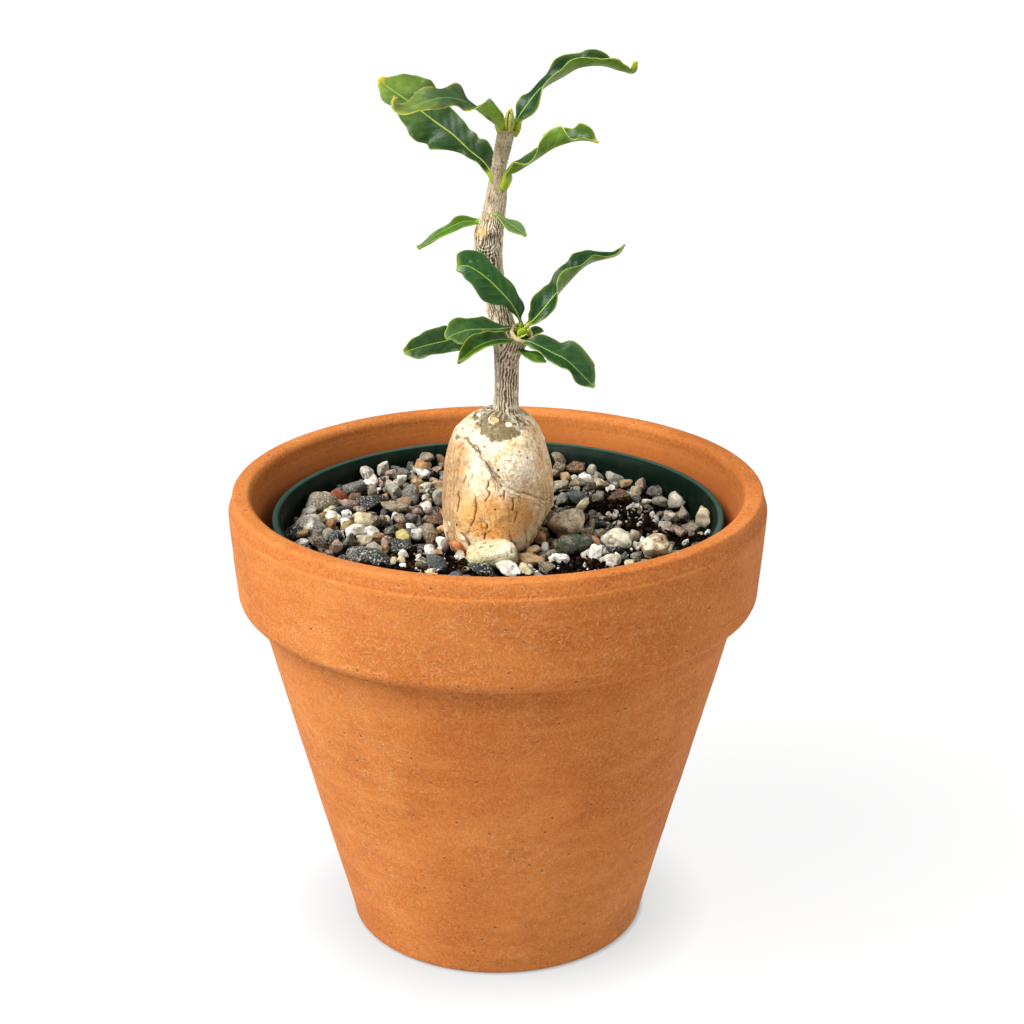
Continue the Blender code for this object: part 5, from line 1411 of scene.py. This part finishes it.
# spine runs from the root of the stalk to the tip, and face is the way that the upper side looks, at even
# steps along it. left and right are the half widths in mm on each side, and liftLeft and liftRight how far
# each half turns up. upper, tip, rib, margin, under and end are colours, the last one of the very end. stalk
# is the share of the length that is stalk, pad its thickness in mm, shade how bright the upper side is, glow
# how much more so towards the tip, and wave how wavy the blade is.
leaves = {
    "leaf_top_left": dict(
        spine=((-0.4, -0.9, 191.6), (-1.3, -0.3, 193.4), (-3.4, 1.5, 196.1), (-6.4, 3.2, 198.2),
            (-10.5, 5.6, 201.6), (-15.0, 7.8, 204.5), (-21.2, 10.0, 208.8), (-26.4, 11.5, 212.2),
            (-27.9, 12.0, 214.0)), face=((0.1, -0.9, 0.4), (0.05, -0.9, 0.42), (0.1, -0.85, 0.5)),
        left=(1.0, 1.2, 1.5, 2.6, 4.9, 5.7, 6.0, 5.4, 4.1, 4.0, 0.3),
        right=(0.8, 1.8, 3.3, 3.2, 3.8, 4.4, 4.8, 5.4, 5.6, 3.6, 0.3),
        liftLeft=(15, 15, 15, 20, 10, -5, 0, 5, 10, 0, 10), liftRight=(15, 10, 10, 5, 5, 0, 5, 5, 15, 15, 5),
        upper=(58, 98, 48), tip=(112, 140, 58), rib=(190, 202, 84), margin=(120, 146, 58), stalk=0.06,
        shade=0.42, wave=4.2, glow=1.0, end=(214, 192, 60)),
    "leaf_top_front": dict(
        spine=((1.3, -0.3, 202.2), (0.8, -0.6, 203.8), (0.2, -1.0, 205.3), (-1.2, -2.0, 207.0),
            (-3.0, -3.2, 208.4), (-6.4, -5.6, 210.6), (-9.3, -7.2, 211.9), (-12.3, -8.6, 212.4),
            (-15.2, -9.6, 211.9), (-20.1, -11.2, 210.5), (-22.3, -12.0, 210.7), (-23.2, -12.3, 211.9),
            (-22.9, -12.3, 213.2)),
        face=((0.2, 0.3, 0.4), (-0.1, -0.1, 0.9), (0.0, -0.5, 0.85), (0.0, -0.5, 0.85), (0.1, -0.55, 0.8),
            (0.7, -0.5, 0.6)), left=(1.1, 1.3, 2.4, 3.2, 3.6, 4.0, 4.0, 3.9, 3.7, 3.3, 2.2, 0.3),
        right=(1.1, 1.3, 2.0, 3.0, 3.6, 4.0, 3.9, 4.0, 4.0, 3.1, 2.2, 0.3),
        liftLeft=(10, 40, 75, 75, 30, 5, 25, 5, 25, 30, 15, 5),
        liftRight=(0, 5, 10, 5, -5, 5, 10, 15, -5, -15, 0, 5), upper=(84, 118, 66), tip=(122, 140, 60),
        rib=(128, 156, 100), margin=(196, 192, 84), stalk=0.07, shade=0.5, wave=3.6, pad=2, glow=0.8,
        end=(206, 180, 70), under=(122, 152, 52)),
    "leaf_top_right": dict(
        spine=((3.8, 0.8, 202.2), (4.6, 0.9, 203.8), (5.0, 0.6, 206.4), (7.2, 0.3, 209.7), (10.6, 1.4, 213.4),
            (15.3, 2.4, 216.0), (19.2, 2.6, 218.0), (24.3, 2.4, 218.4), (28.9, 2.0, 217.2),
            (31.3, 1.7, 217.1), (32.0, 1.5, 219.2)),
        face=((-0.7, -0.6, 0.2), (-0.6, -0.65, 0.45), (-0.35, -0.1, 0.93), (0.0, 0.0, 1.0), (0.3, 0.0, 0.95),
            (-0.5, 0.0, 0.85)), left=(0.8, 1.3, 2.7, 3.2, 3.8, 4.1, 3.9, 3.8, 3.5, 2.3, 0.3),
        right=(0.8, 1.3, 2.6, 3.7, 3.6, 3.9, 3.9, 3.7, 3.4, 2.3, 0.3),
        liftLeft=(5, 15, 10, 0, 25, 60, 50, 55, 25, 5, 20),
        liftRight=(5, 0, -15, 15, 40, 35, 50, 40, 25, 30, 30), upper=(48, 92, 50), tip=(60, 104, 44),
        rib=(150, 184, 66), margin=(190, 206, 84), stalk=0.07, shade=0.42, wave=2.6, pad=1.8,
        under=(98, 130, 42), end=(196, 196, 70)),
    "leaf_upper_right": dict(
        spine=((1.4, -1.4, 190.6), (2.3, -2.5, 192.6), (3.0, -3.3, 194.3), (4.8, -4.1, 195.3),
            (8.8, -5.6, 198.1), (12.9, -7.0, 201.0), (17.2, -8.4, 202.7), (20.4, -9.3, 203.1),
            (23.3, -10.0, 202.6)),
        face=((-0.5, -0.6, 0.6), (-0.3, -0.2, 0.95), (-0.2, -0.1, 1.0), (0.1, -0.1, 1.0), (0.3, -0.1, 0.9)),
        left=(1.1, 1.5, 2.4, 3.1, 3.1, 3.3, 3.5, 3.4, 3.1, 2.6, 0.3),
        right=(1.1, 1.5, 2.2, 2.8, 3.1, 3.3, 3.5, 3.4, 2.8, 2.4, 0.4),
        liftLeft=(15, 30, 60, 45, 15, 20, 40, 45, 40, 55, 10),
        liftRight=(15, 40, 45, 30, 10, 30, 60, 70, 10, 15, 10), upper=(62, 106, 50), tip=(84, 124, 46),
        rib=(150, 180, 70), margin=(186, 200, 78), stalk=0.1, shade=0.55, wave=3.6, pad=2.4,
        under=(90, 122, 36), end=(212, 190, 60)),
    "leaf_middle_left": dict(
        spine=((-1.6, -0.6, 181.8), (-3.9, -1.0, 182.2), (-6.0, -1.4, 182.4), (-8.8, -2.0, 182.2),
            (-14.0, -3.2, 179.8), (-18.7, -4.4, 176.5)),
        face=((0.0, -0.6, 0.8), (-0.15, -0.7, 0.7), (-0.3, -0.6, 0.7)),
        left=(0.6, 0.8, 1.6, 1.9, 1.8, 1.4, 0.3), right=(0.6, 0.7, 1.3, 1.1, 1.2, 1.0, 0.3),
        liftLeft=(10, 5, 5, 10, 15, 15, 15), liftRight=(15, 15, 20, 15, 15, 10, 10), upper=(84, 128, 40),
        tip=(70, 112, 48), rib=(130, 164, 50), margin=(140, 168, 54), stalk=0.12, shade=0.68, wave=1.4,
        under=(100, 140, 40)),
    "leaf_middle_front": dict(
        spine=((-0.8, -2.4, 184.6), (0.2, -3.5, 184.1), (1.6, -4.6, 183.4), (3.5, -5.6, 182.2),
            (6.7, -7.6, 180.3)), face=((0.3, -0.5, 0.8), (0.3, -0.6, 0.7), (0.5, -0.5, 0.6)),
        left=(0.5, 0.6, 1.0, 1.9, 1.8, 0.3), right=(0.5, 0.7, 1.5, 2.0, 1.7, 0.3),
        liftLeft=(15, 10, 0, 10, 15, 10), liftRight=(15, 15, 10, 0, 5, 10), upper=(112, 144, 84),
        tip=(112, 146, 80), rib=(120, 150, 80), margin=(156, 172, 84), stalk=0.1, shade=0.66,
        stalkTone=(122, 150, 72), pad=0.8),
    "leaf_rosette_up_left": dict(
        spine=((5.4, -4.7, 157.0), (5.6, -5.3, 158.7), (4.9, -6.3, 160.8), (4.2, -7.0, 162.5),
            (2.4, -7.8, 165.3), (-2.3, -8.1, 170.2), (-6.6, -7.4, 172.9), (-9.5, -6.8, 172.9)),
        face=((-0.1, -0.95, 0.3), (0.1, -0.93, 0.35), (0.25, -0.8, 0.5)),
        left=(0.5, 0.7, 1.8, 2.1, 3.7, 4.1, 3.6, 3.2, 1.3),
        right=(0.5, 0.7, 2.8, 2.8, 2.8, 3.8, 3.8, 3.8, 2.4), liftLeft=(5, 10, 15, 15, 5, 5, 10, 10, 5),
        liftRight=(5, 10, 10, 10, 0, 5, 10, 20, 15), upper=(46, 88, 40), tip=(48, 92, 44), rib=(176, 198, 84),
        margin=(104, 136, 68), stalk=0.06, shade=0.78, wave=2.4),
    "leaf_rosette_up_right": dict(
        spine=((6.6, -4.5, 156.6), (7.0, -5.1, 158.2), (8.0, -5.6, 159.1), (9.4, -5.8, 160.5),
            (12.7, -5.0, 164.3), (15.8, -3.3, 167.5), (19.6, -1.0, 170.9), (22.6, 0.6, 172.4),
            (28.4, 2.3, 173.6), (30.3, 3.0, 175.9)),
        face=((-0.5, -0.8, 0.35), (-0.6, -0.65, 0.45), (-0.55, -0.3, 0.78), (-0.2, -0.05, 1.0),
            (-0.3, 0.0, 0.95)), left=(0.5, 0.8, 3.0, 3.4, 3.6, 3.9, 4.0, 3.7, 3.3, 2.3, 0.3),
        right=(0.5, 0.8, 2.6, 3.3, 3.6, 4.0, 4.1, 3.7, 3.3, 2.2, 0.3),
        liftLeft=(5, 10, 30, 10, 5, 25, 35, 40, 35, 25, 20),
        liftRight=(5, 5, 5, 15, 55, 60, 40, 30, 25, 25, 20), upper=(34, 78, 38), tip=(44, 90, 46),
        rib=(176, 206, 56), margin=(160, 186, 80), stalk=0.06, shade=0.66, wave=1.8, under=(98, 130, 58)),
    "leaf_rosette_far_left": dict(
        spine=((1.3, -1.2, 153.5), (-2.3, -2.8, 154.7), (-6.1, -3.8, 155.0), (-12.3, -5.2, 154.3),
            (-18.5, -6.4, 153.1), (-22.3, -7.0, 151.9)),
        face=((0.0, -0.7, 0.7), (0.05, -0.75, 0.65), (-0.2, -0.75, 0.6)),
        left=(0.7, 0.8, 2.0, 3.1, 3.4, 3.7, 3.4, 3.3, 0.3),
        right=(0.7, 0.8, 1.9, 2.5, 3.1, 3.6, 3.4, 2.0, 0.3), liftLeft=(15, 10, 10, 10, 10, 15, 20, 10, 0),
        liftRight=(15, 15, 10, 0, 0, 5, 5, 5, 10), upper=(50, 90, 38), tip=(56, 98, 40), rib=(146, 172, 66),
        margin=(126, 152, 60), stalk=0.06, shade=0.4, wave=2.4, end=(150, 164, 60)),
    "leaf_rosette_left": dict(
        spine=((4.7, -5.2, 156.9), (3.55, -6.15, 157.75), (1.9, -7.0, 157.9), (0.1, -7.5, 157.8),
            (-3.5, -8.7, 158.1), (-7.2, -9.8, 158.1), (-10.9, -10.9, 157.1), (-11.9, -11.3, 156.2)),
        face=((0.1, -0.5, 0.85), (0.0, -0.55, 0.83), (-0.3, -0.6, 0.75)),
        left=(0.5, 0.7, 1.8, 3.0, 3.7, 4.0, 3.9, 3.4, 0.5),
        right=(0.5, 0.7, 1.8, 2.8, 3.9, 4.2, 3.7, 2.4, 0.3), liftLeft=(10, 15, 20, 20, 15, 10, 5, 0, 0),
        liftRight=(10, 10, 0, -5, 0, 5, 5, 5, 5), upper=(56, 94, 50), tip=(78, 116, 46), rib=(136, 166, 84),
        margin=(150, 168, 66), stalk=0.05, shade=0.58, wave=2.4),
    "leaf_rosette_low_left": dict(
        spine=((5.0, -6.6, 154.6), (3.8, -8.3, 155.3), (2.0, -10.2, 156.0), (0.4, -11.7, 156.4),
            (-2.3, -13.9, 156.4), (-5.2, -16.0, 155.5), (-9.2, -18.5, 152.7)),
        face=((0.2, -0.4, 0.9), (0.0, -0.5, 0.85), (-0.2, -0.6, 0.75)),
        left=(0.5, 0.9, 2.3, 2.9, 2.8, 2.1, 0.3), right=(0.5, 0.9, 1.9, 2.2, 2.7, 1.7, 0.3),
        liftLeft=(10, 15, 10, 15, 25, 30, 15), liftRight=(15, 35, 50, 50, 40, 40, 20), upper=(46, 90, 30),
        tip=(78, 122, 36), rib=(150, 172, 54), margin=(156, 170, 64), stalk=0.05, shade=0.66, wave=3.4),
    "leaf_rosette_low_right": dict(
        spine=((5.8, -6.9, 154.3), (6.5, -8.2, 155.0), (7.7, -8.9, 155.0), (9.8, -9.7, 154.3),
            (12.7, -11.0, 153.1), (16.5, -12.8, 151.5), (20.2, -15.2, 148.4), (22.7, -16.6, 146.2)),
        face=((0.1, -0.5, 0.85), (0.3, -0.65, 0.7), (0.5, -0.6, 0.55)),
        left=(0.5, 1.3, 3.3, 3.8, 4.2, 4.3, 3.9, 2.6, 0.3),
        right=(0.5, 1.2, 2.6, 3.3, 3.7, 3.9, 3.7, 3.0, 0.3), liftLeft=(10, 20, 20, 5, 10, 10, 10, 5, 5),
        liftRight=(5, 20, 35, 25, 20, 20, 25, 5, 0), upper=(46, 88, 38), tip=(44, 84, 42), rib=(140, 166, 84),
        margin=(164, 174, 92), stalk=0.05, shade=0.58, wave=3.2, end=(112, 140, 66)),
    "leaf_rosette_under": dict(
        spine=((4.5, -4.4, 152.6), (5.4, -5.5, 152.2), (6.8, -7.0, 151.9), (8.4, -8.2, 151.6),
            (10.1, -9.4, 151.2), (11.5, -10.2, 150.6)),
        face=((0.2, -0.4, 0.9), (0.2, -0.6, 0.75), (0.4, -0.6, 0.65)), left=(0.5, 0.8, 1.6, 1.8, 1.3, 0.3),
        right=(0.5, 0.8, 1.4, 1.7, 1.6, 0.4), liftLeft=(10, 15, 20, 10, 5, 10),
        liftRight=(10, 10, 10, 5, -5, 0), upper=(66, 112, 34), tip=(72, 118, 38), rib=(110, 142, 50),
        margin=(140, 162, 60), stalk=0.06, shade=0.95, wave=2.5),
    "leaf_rosette_back": dict(
        spine=((6.2, -4.9, 155.0), (7.4, -4.9, 155.8), (8.4, -4.6, 156.3), (9.6, -3.9, 156.6),
            (10.8, -3.2, 156.4)), face=((-0.1, -0.4, 0.9), (0.1, -0.5, 0.85), (0.4, -0.4, 0.8)),
        left=(0.5, 0.7, 1.2, 1.3, 1.1, 0.3), right=(0.5, 0.7, 1.2, 1.3, 1.1, 0.3),
        liftLeft=(10, 5, 0, 0, 0, 5), liftRight=(0, 0, 5, 10, 10, 5), upper=(64, 104, 50), tip=(70, 108, 50),
        rib=(110, 140, 66), margin=(130, 154, 70), stalk=0.08, shade=0.65)}
plainLeaf = dict(
    under=(106, 140, 52), end=(128, 148, 60), stalkTone=(176, 194, 52), stalkShade=(140, 166, 42),
    speck=(160, 176, 120), pad=1.5, shade=1.0, glow=0.0, wave=1.0)
leafTones = ("upper", "tip", "rib", "margin", "under", "end", "stalkTone", "stalkShade", "speck")
leafForm = dict(
    tipHalf=0.55, blade=0.4, rows=84, veinStep=2.7, veinLean=1.15, ripple=0.42,
    across=(0, 0.014, 0.03, 0.06, 0.1, 0.16, 0.24, 0.33, 0.43, 0.54, 0.65, 0.75, 0.84, 0.9, 0.945, 0.975,
            1.0))
smallForm = dict(leafForm, rows=56)
scaleForm = dict(leafForm, tipHalf=0.1, blade=0.22, across=leafForm["across"][::3], rows=30, ripple=0.02)


# The middle of the blade: a point lies at the share |v| of its side's half width from the spine, turned up by
# the side's lift, less near the midrib than at the margin
def leafPoints(leaf, form, u, v):
    where = np.linspace(0, 1, 200)
    spine = smoothLine(leaf["spine"], len(where))
    along = unit(np.gradient(spine, axis=0))
    face = np.stack([smoothTable([way[k] for way in leaf["face"]], where) for k in range(3)], axis=1)
    face = unit(face - (face * along).sum(1, keepdims=True) * along)

    def at(values):
        return np.stack([np.interp(u, where, values[:, k]) for k in range(3)], axis=-1)

    def ofSide(left, right):
        return np.where(v < 0, smoothTable(leaf[left], u), smoothTable(leaf[right], u))

    half = np.maximum(ofSide("left", "right"),
                      form["tipHalf"] * np.sqrt(np.clip((1.004 - u) / 0.02, 0.02, 1)))
    lift = np.radians(ofSide("liftLeft", "liftRight")) * np.sqrt(np.abs(v))
    out = v * half
    points = at(spine) + (out * np.cos(lift))[..., None] * at(np.cross(along, face))
    points = points + (np.abs(out) * np.sin(lift))[..., None] * at(face)
    return points, half, np.linalg.norm(np.diff(spine, axis=0), axis=1).sum()


# A closed blade: each row across it is a ring that runs over the upper side and back under it. The upper side
# has a groove on the midrib, the under side a rib, both have side veins, and the stalk is round.
def leafShell(leaf, form, seed):
    leaf = {**plainLeaf, **leaf}
    tone = {name: paint(*leaf[name]) for name in leafTones}
    share = np.array(form["across"])
    u = np.linspace(0, 1, form["rows"])[:, None]
    u, v = np.broadcast_arrays(u - 0.04 * np.sin(2 * np.pi * u) / (2 * np.pi),
                               np.concatenate([-share[::-1], share[1:]])[None, :])
    middle, half, length = leafPoints(leaf, form, u, v)
    x, s = v * half, u * length
    wave = leaf["wave"] * noise(np.stack([s, np.sign(v) * 9, 0 * s], -1), 4.0, seed, 2)
    blade = ease(leaf["stalk"] * 0.9, leaf["stalk"] * 1.9, u)
    acrossWay = unit(np.gradient(middle, axis=1))
    normal = unit(np.cross(acrossWay, unit(np.gradient(middle, axis=0))))
    middle = middle + acrossWay * (v**3 * wave * 0.55 * blade)[..., None]
    middle = middle + normal * (form["ripple"] * wave * v**2 * blade)[..., None]
    vein = s - form["veinLean"] * np.abs(x) + 0.3 * wave + 0.7 * (v < 0)
    vein = np.mod(vein, form["veinStep"]) / form["veinStep"] - 0.5
    quilt = np.cos(2 * np.pi * vein) * ease(0.2, 0.9, np.abs(x)) * ease(1.0, 0.7, np.abs(v)) * blade
    veinLine = bell(vein * form["veinStep"], 0.17) * ease(1.0, 0.35, np.abs(v)) * blade
    edge = np.sqrt(np.clip(1 - np.abs(v) ** 9, 0.04, 1))
    stalk = leaf["pad"] * np.sqrt(np.clip(1 - v**2, 0.03, 1)) * (1 - blade)
    thick = np.maximum(form["blade"] * edge, stalk) / 2
    upper = thick - 0.11 * bell(x, 0.22) * blade + 0.05 * quilt
    lower = thick + 0.42 * bell(x, 0.42) * (1 - 0.7 * u) * blade - 0.025 * quilt

    cloud, fine = noise(middle, 3.6, seed + 3, 3), noise(middle, 0.9, seed + 5, 2)
    toMargin = (1 - np.abs(v)) * half
    topTint = mixTint(tone["upper"], tone["tip"], ease(0.55, 0.95, u + 0.18 * cloud))
    topTint = mixTint(topTint * (1 + 0.16 * cloud + 0.05 * fine)[..., None], tone["rib"], veinLine * 0.13)
    shade = leaf["shade"] + (1 - leaf["shade"]) * leaf["glow"] * ease(0.55, 0.95, u + 0.1 * cloud)
    topTint = mixTint(topTint * shade[..., None], tone["margin"], ease(1.2, 0.1, toMargin) * 0.12)
    topTint = mixTint(topTint, tone["rib"], ease(0.20, 0.07, np.abs(x)) * (0.9 - 0.45 * u))
    underTint = mixTint(tone["under"], tone["tip"], 0.15 * ease(0.3, 1.0, u)) * (1 + 0.10 * cloud)[..., None]
    underTint = mixTint(underTint, tone["rib"], 0.3 * veinLine + 0.7 * bell(x, 0.4))
    fibres = noise(np.stack([s * 0.2, x, 0 * s], -1), 0.7, seed + 8, 2)
    specks = ease(0.86, 0.92, noise(middle, 0.7, seed + 7)) * blade
    stalkTint = mixTint(tone["stalkTone"], tone["stalkShade"], 0.5 + 0.5 * cloud)
    tints = []
    for tint in (topTint, underTint * (1 + 0.32 * fibres)[..., None]):
        tint = mixTint(tint, tone["margin"], ease(0.2, 0.05, toMargin + 0.04 * fine) * 0.72 * blade)
        tint = mixTint(tint, tone["end"], ease(0.93, 1.0, u) * 0.85)
        tint = mixTint(tint, tone["speck"], specks * 0.5)
        tints.append(mixTint(tint, stalkTint, (1 - blade) * 0.95))
    rings = np.hstack([middle + normal * upper[..., None], (middle - normal * lower[..., None])[:, ::-1]])
    return cappedRings(rings, np.hstack([tints[0], tints[1][:, ::-1]]))


def makeLeafSurface(name, roughness, specular):
    surface = Surface(name, roughness, specular)
    surface.useTint()
    cells = surface.node("TexVoronoi", {"Vector": surface.place(), "Scale": 1900.0})
    clouds = surface.noise(520, 4)
    surface.shade(clouds.span(0.32, 0.68), (0.84, 0.86, 0.8), (1.14, 1.12, 1.12))
    surface.feed(surface.shader["Roughness"], clouds.span(0.3, 0.7, roughness - 0.06, roughness + 0.1))
    surface.finish(clouds + Number(surface, cells["Distance"]), 0.00005, 0.5)
    return surface


leafSurface = makeLeafSurface("leaf_blade", 0.34, 0.2)
highest = cadBox[1][2] / mm - 0.02
for index, (name, leaf) in enumerate(leaves.items()):
    points, faces, tint = leafShell(leaf, smallForm if len(leaf["left"]) < 8 else leafForm, 201 + 11 * index)
    points[:, 2] = np.minimum(points[:, 2], highest)
    addPiece(name + "_fine", [(points, faces, tint)], leafSurface, [name])


# Each scale is a small leaf with a spine, a half width and a face
budForm = {
    "tip_bud": dict(
        foot=(2.8, -0.7, 203.5), radius=0.82, height=5.0, lean=(0.05, 0.0),
        tones=((112, 140, 44), (196, 200, 96)),
        scales=((((2.2, -1.3, 203.6), (1.95, -1.5, 205.2), (2.2, -1.5, 207.0), (2.7, -1.2, 208.6)), 0.62,
                 (-0.6, -0.8, 0.1)),
                (((3.3, -1.3, 203.6), (3.75, -1.5, 205.4), (3.6, -1.4, 207.3), (3.2, -1.1, 208.9)), 0.6,
                 (0.6, -0.8, 0.1)),
                (((2.8, -1.6, 203.6), (2.9, -1.85, 205.0), (3.0, -1.8, 206.4), (3.0, -1.5, 207.6)), 0.5,
                 (0.0, -1.0, 0.1)),
                (((2.9, 0.1, 203.6), (2.95, 0.35, 205.4), (3.0, 0.2, 207.2), (3.0, -0.2, 208.7)), 0.7,
                 (0.0, 1.0, 0.1)))),
    "shoot_bud": dict(
        foot=(5.75, -6.8, 156.3), radius=1.35, height=1.9, lean=(0.15, 0.35),
        tones=((112, 148, 22), (176, 186, 44)),
        scales=((((6.9, -6.9, 156.6), (7.2, -7.1, 157.1), (7.6, -7.1, 157.6), (7.9, -6.9, 157.9)), 0.5,
                 (0.3, -0.9, 0.3)),
                (((6.4, -6.3, 157.1), (6.7, -6.5, 157.7), (7.0, -6.5, 158.3), (7.2, -6.3, 158.8)), 0.45,
                 (0.1, -0.95, 0.2)),
                (((5.2, -7.6, 155.8), (5.5, -8.3, 156.3), (6.2, -8.6, 156.5), (6.9, -8.4, 156.8)), 0.5,
                 (0.0, -0.6, 0.8))))}


# Bud core: a spindle of radius (1 - t)^0.6 (0.8 + 0.9 t), with three overlapping folds as a saw wave round it
def budShell(bud):
    t = np.linspace(0, 0.985, 46)[:, None]
    angle = evenTurn(60)[None, :]
    saw = np.mod(3 * angle / (2 * np.pi) + 0.35 * t, 1.0)
    wide = bud["radius"] * (1 - t) ** 0.6 * (0.8 + 0.9 * t) * (0.9 + 0.2 * saw * ease(1.0, 0.9, saw))
    footX, footY, footZ = bud["foot"]
    x = footX + wide * np.cos(angle) + bud["lean"][0] * t**2 * bud["height"]
    y = footY + wide * np.sin(angle) - bud["lean"][1] * t * bud["height"]
    low, high = (paint(*tone) for tone in bud["tones"])
    return cappedRings(np.stack([x, y, footZ + t * bud["height"] + 0 * angle], -1),
                       mixTint(low, high, ease(0.55, 0.95, saw) * 0.9 + 0.25 * t), endTint=high)


def scaleShell(bud, spine, half, face, seed):
    low, high = bud["tones"]
    widths, lifts = (half * 0.9, half, half * 0.9, half * 0.6, 0.12), (-25, -30, -30, -20, 0)
    leaf = dict(spine=spine, face=(face, face), left=widths, right=widths, liftLeft=lifts, liftRight=lifts,
                upper=low, tip=high, under=low, rib=high, end=(222, 214, 120), margin=(222, 220, 130),
                stalk=0.02)
    return leafShell(leaf, scaleForm, seed)


youngSurface = makeLeafSurface("young_growth", 0.5, 0.3)
for index, (name, bud) in enumerate(budForm.items()):
    scales = [scaleShell(bud, *scale, 301 + 10 * index + number)
              for number, scale in enumerate(bud["scales"])]
    addPiece(name + "_fine", [budShell(bud), *scales], youngSurface, [name])
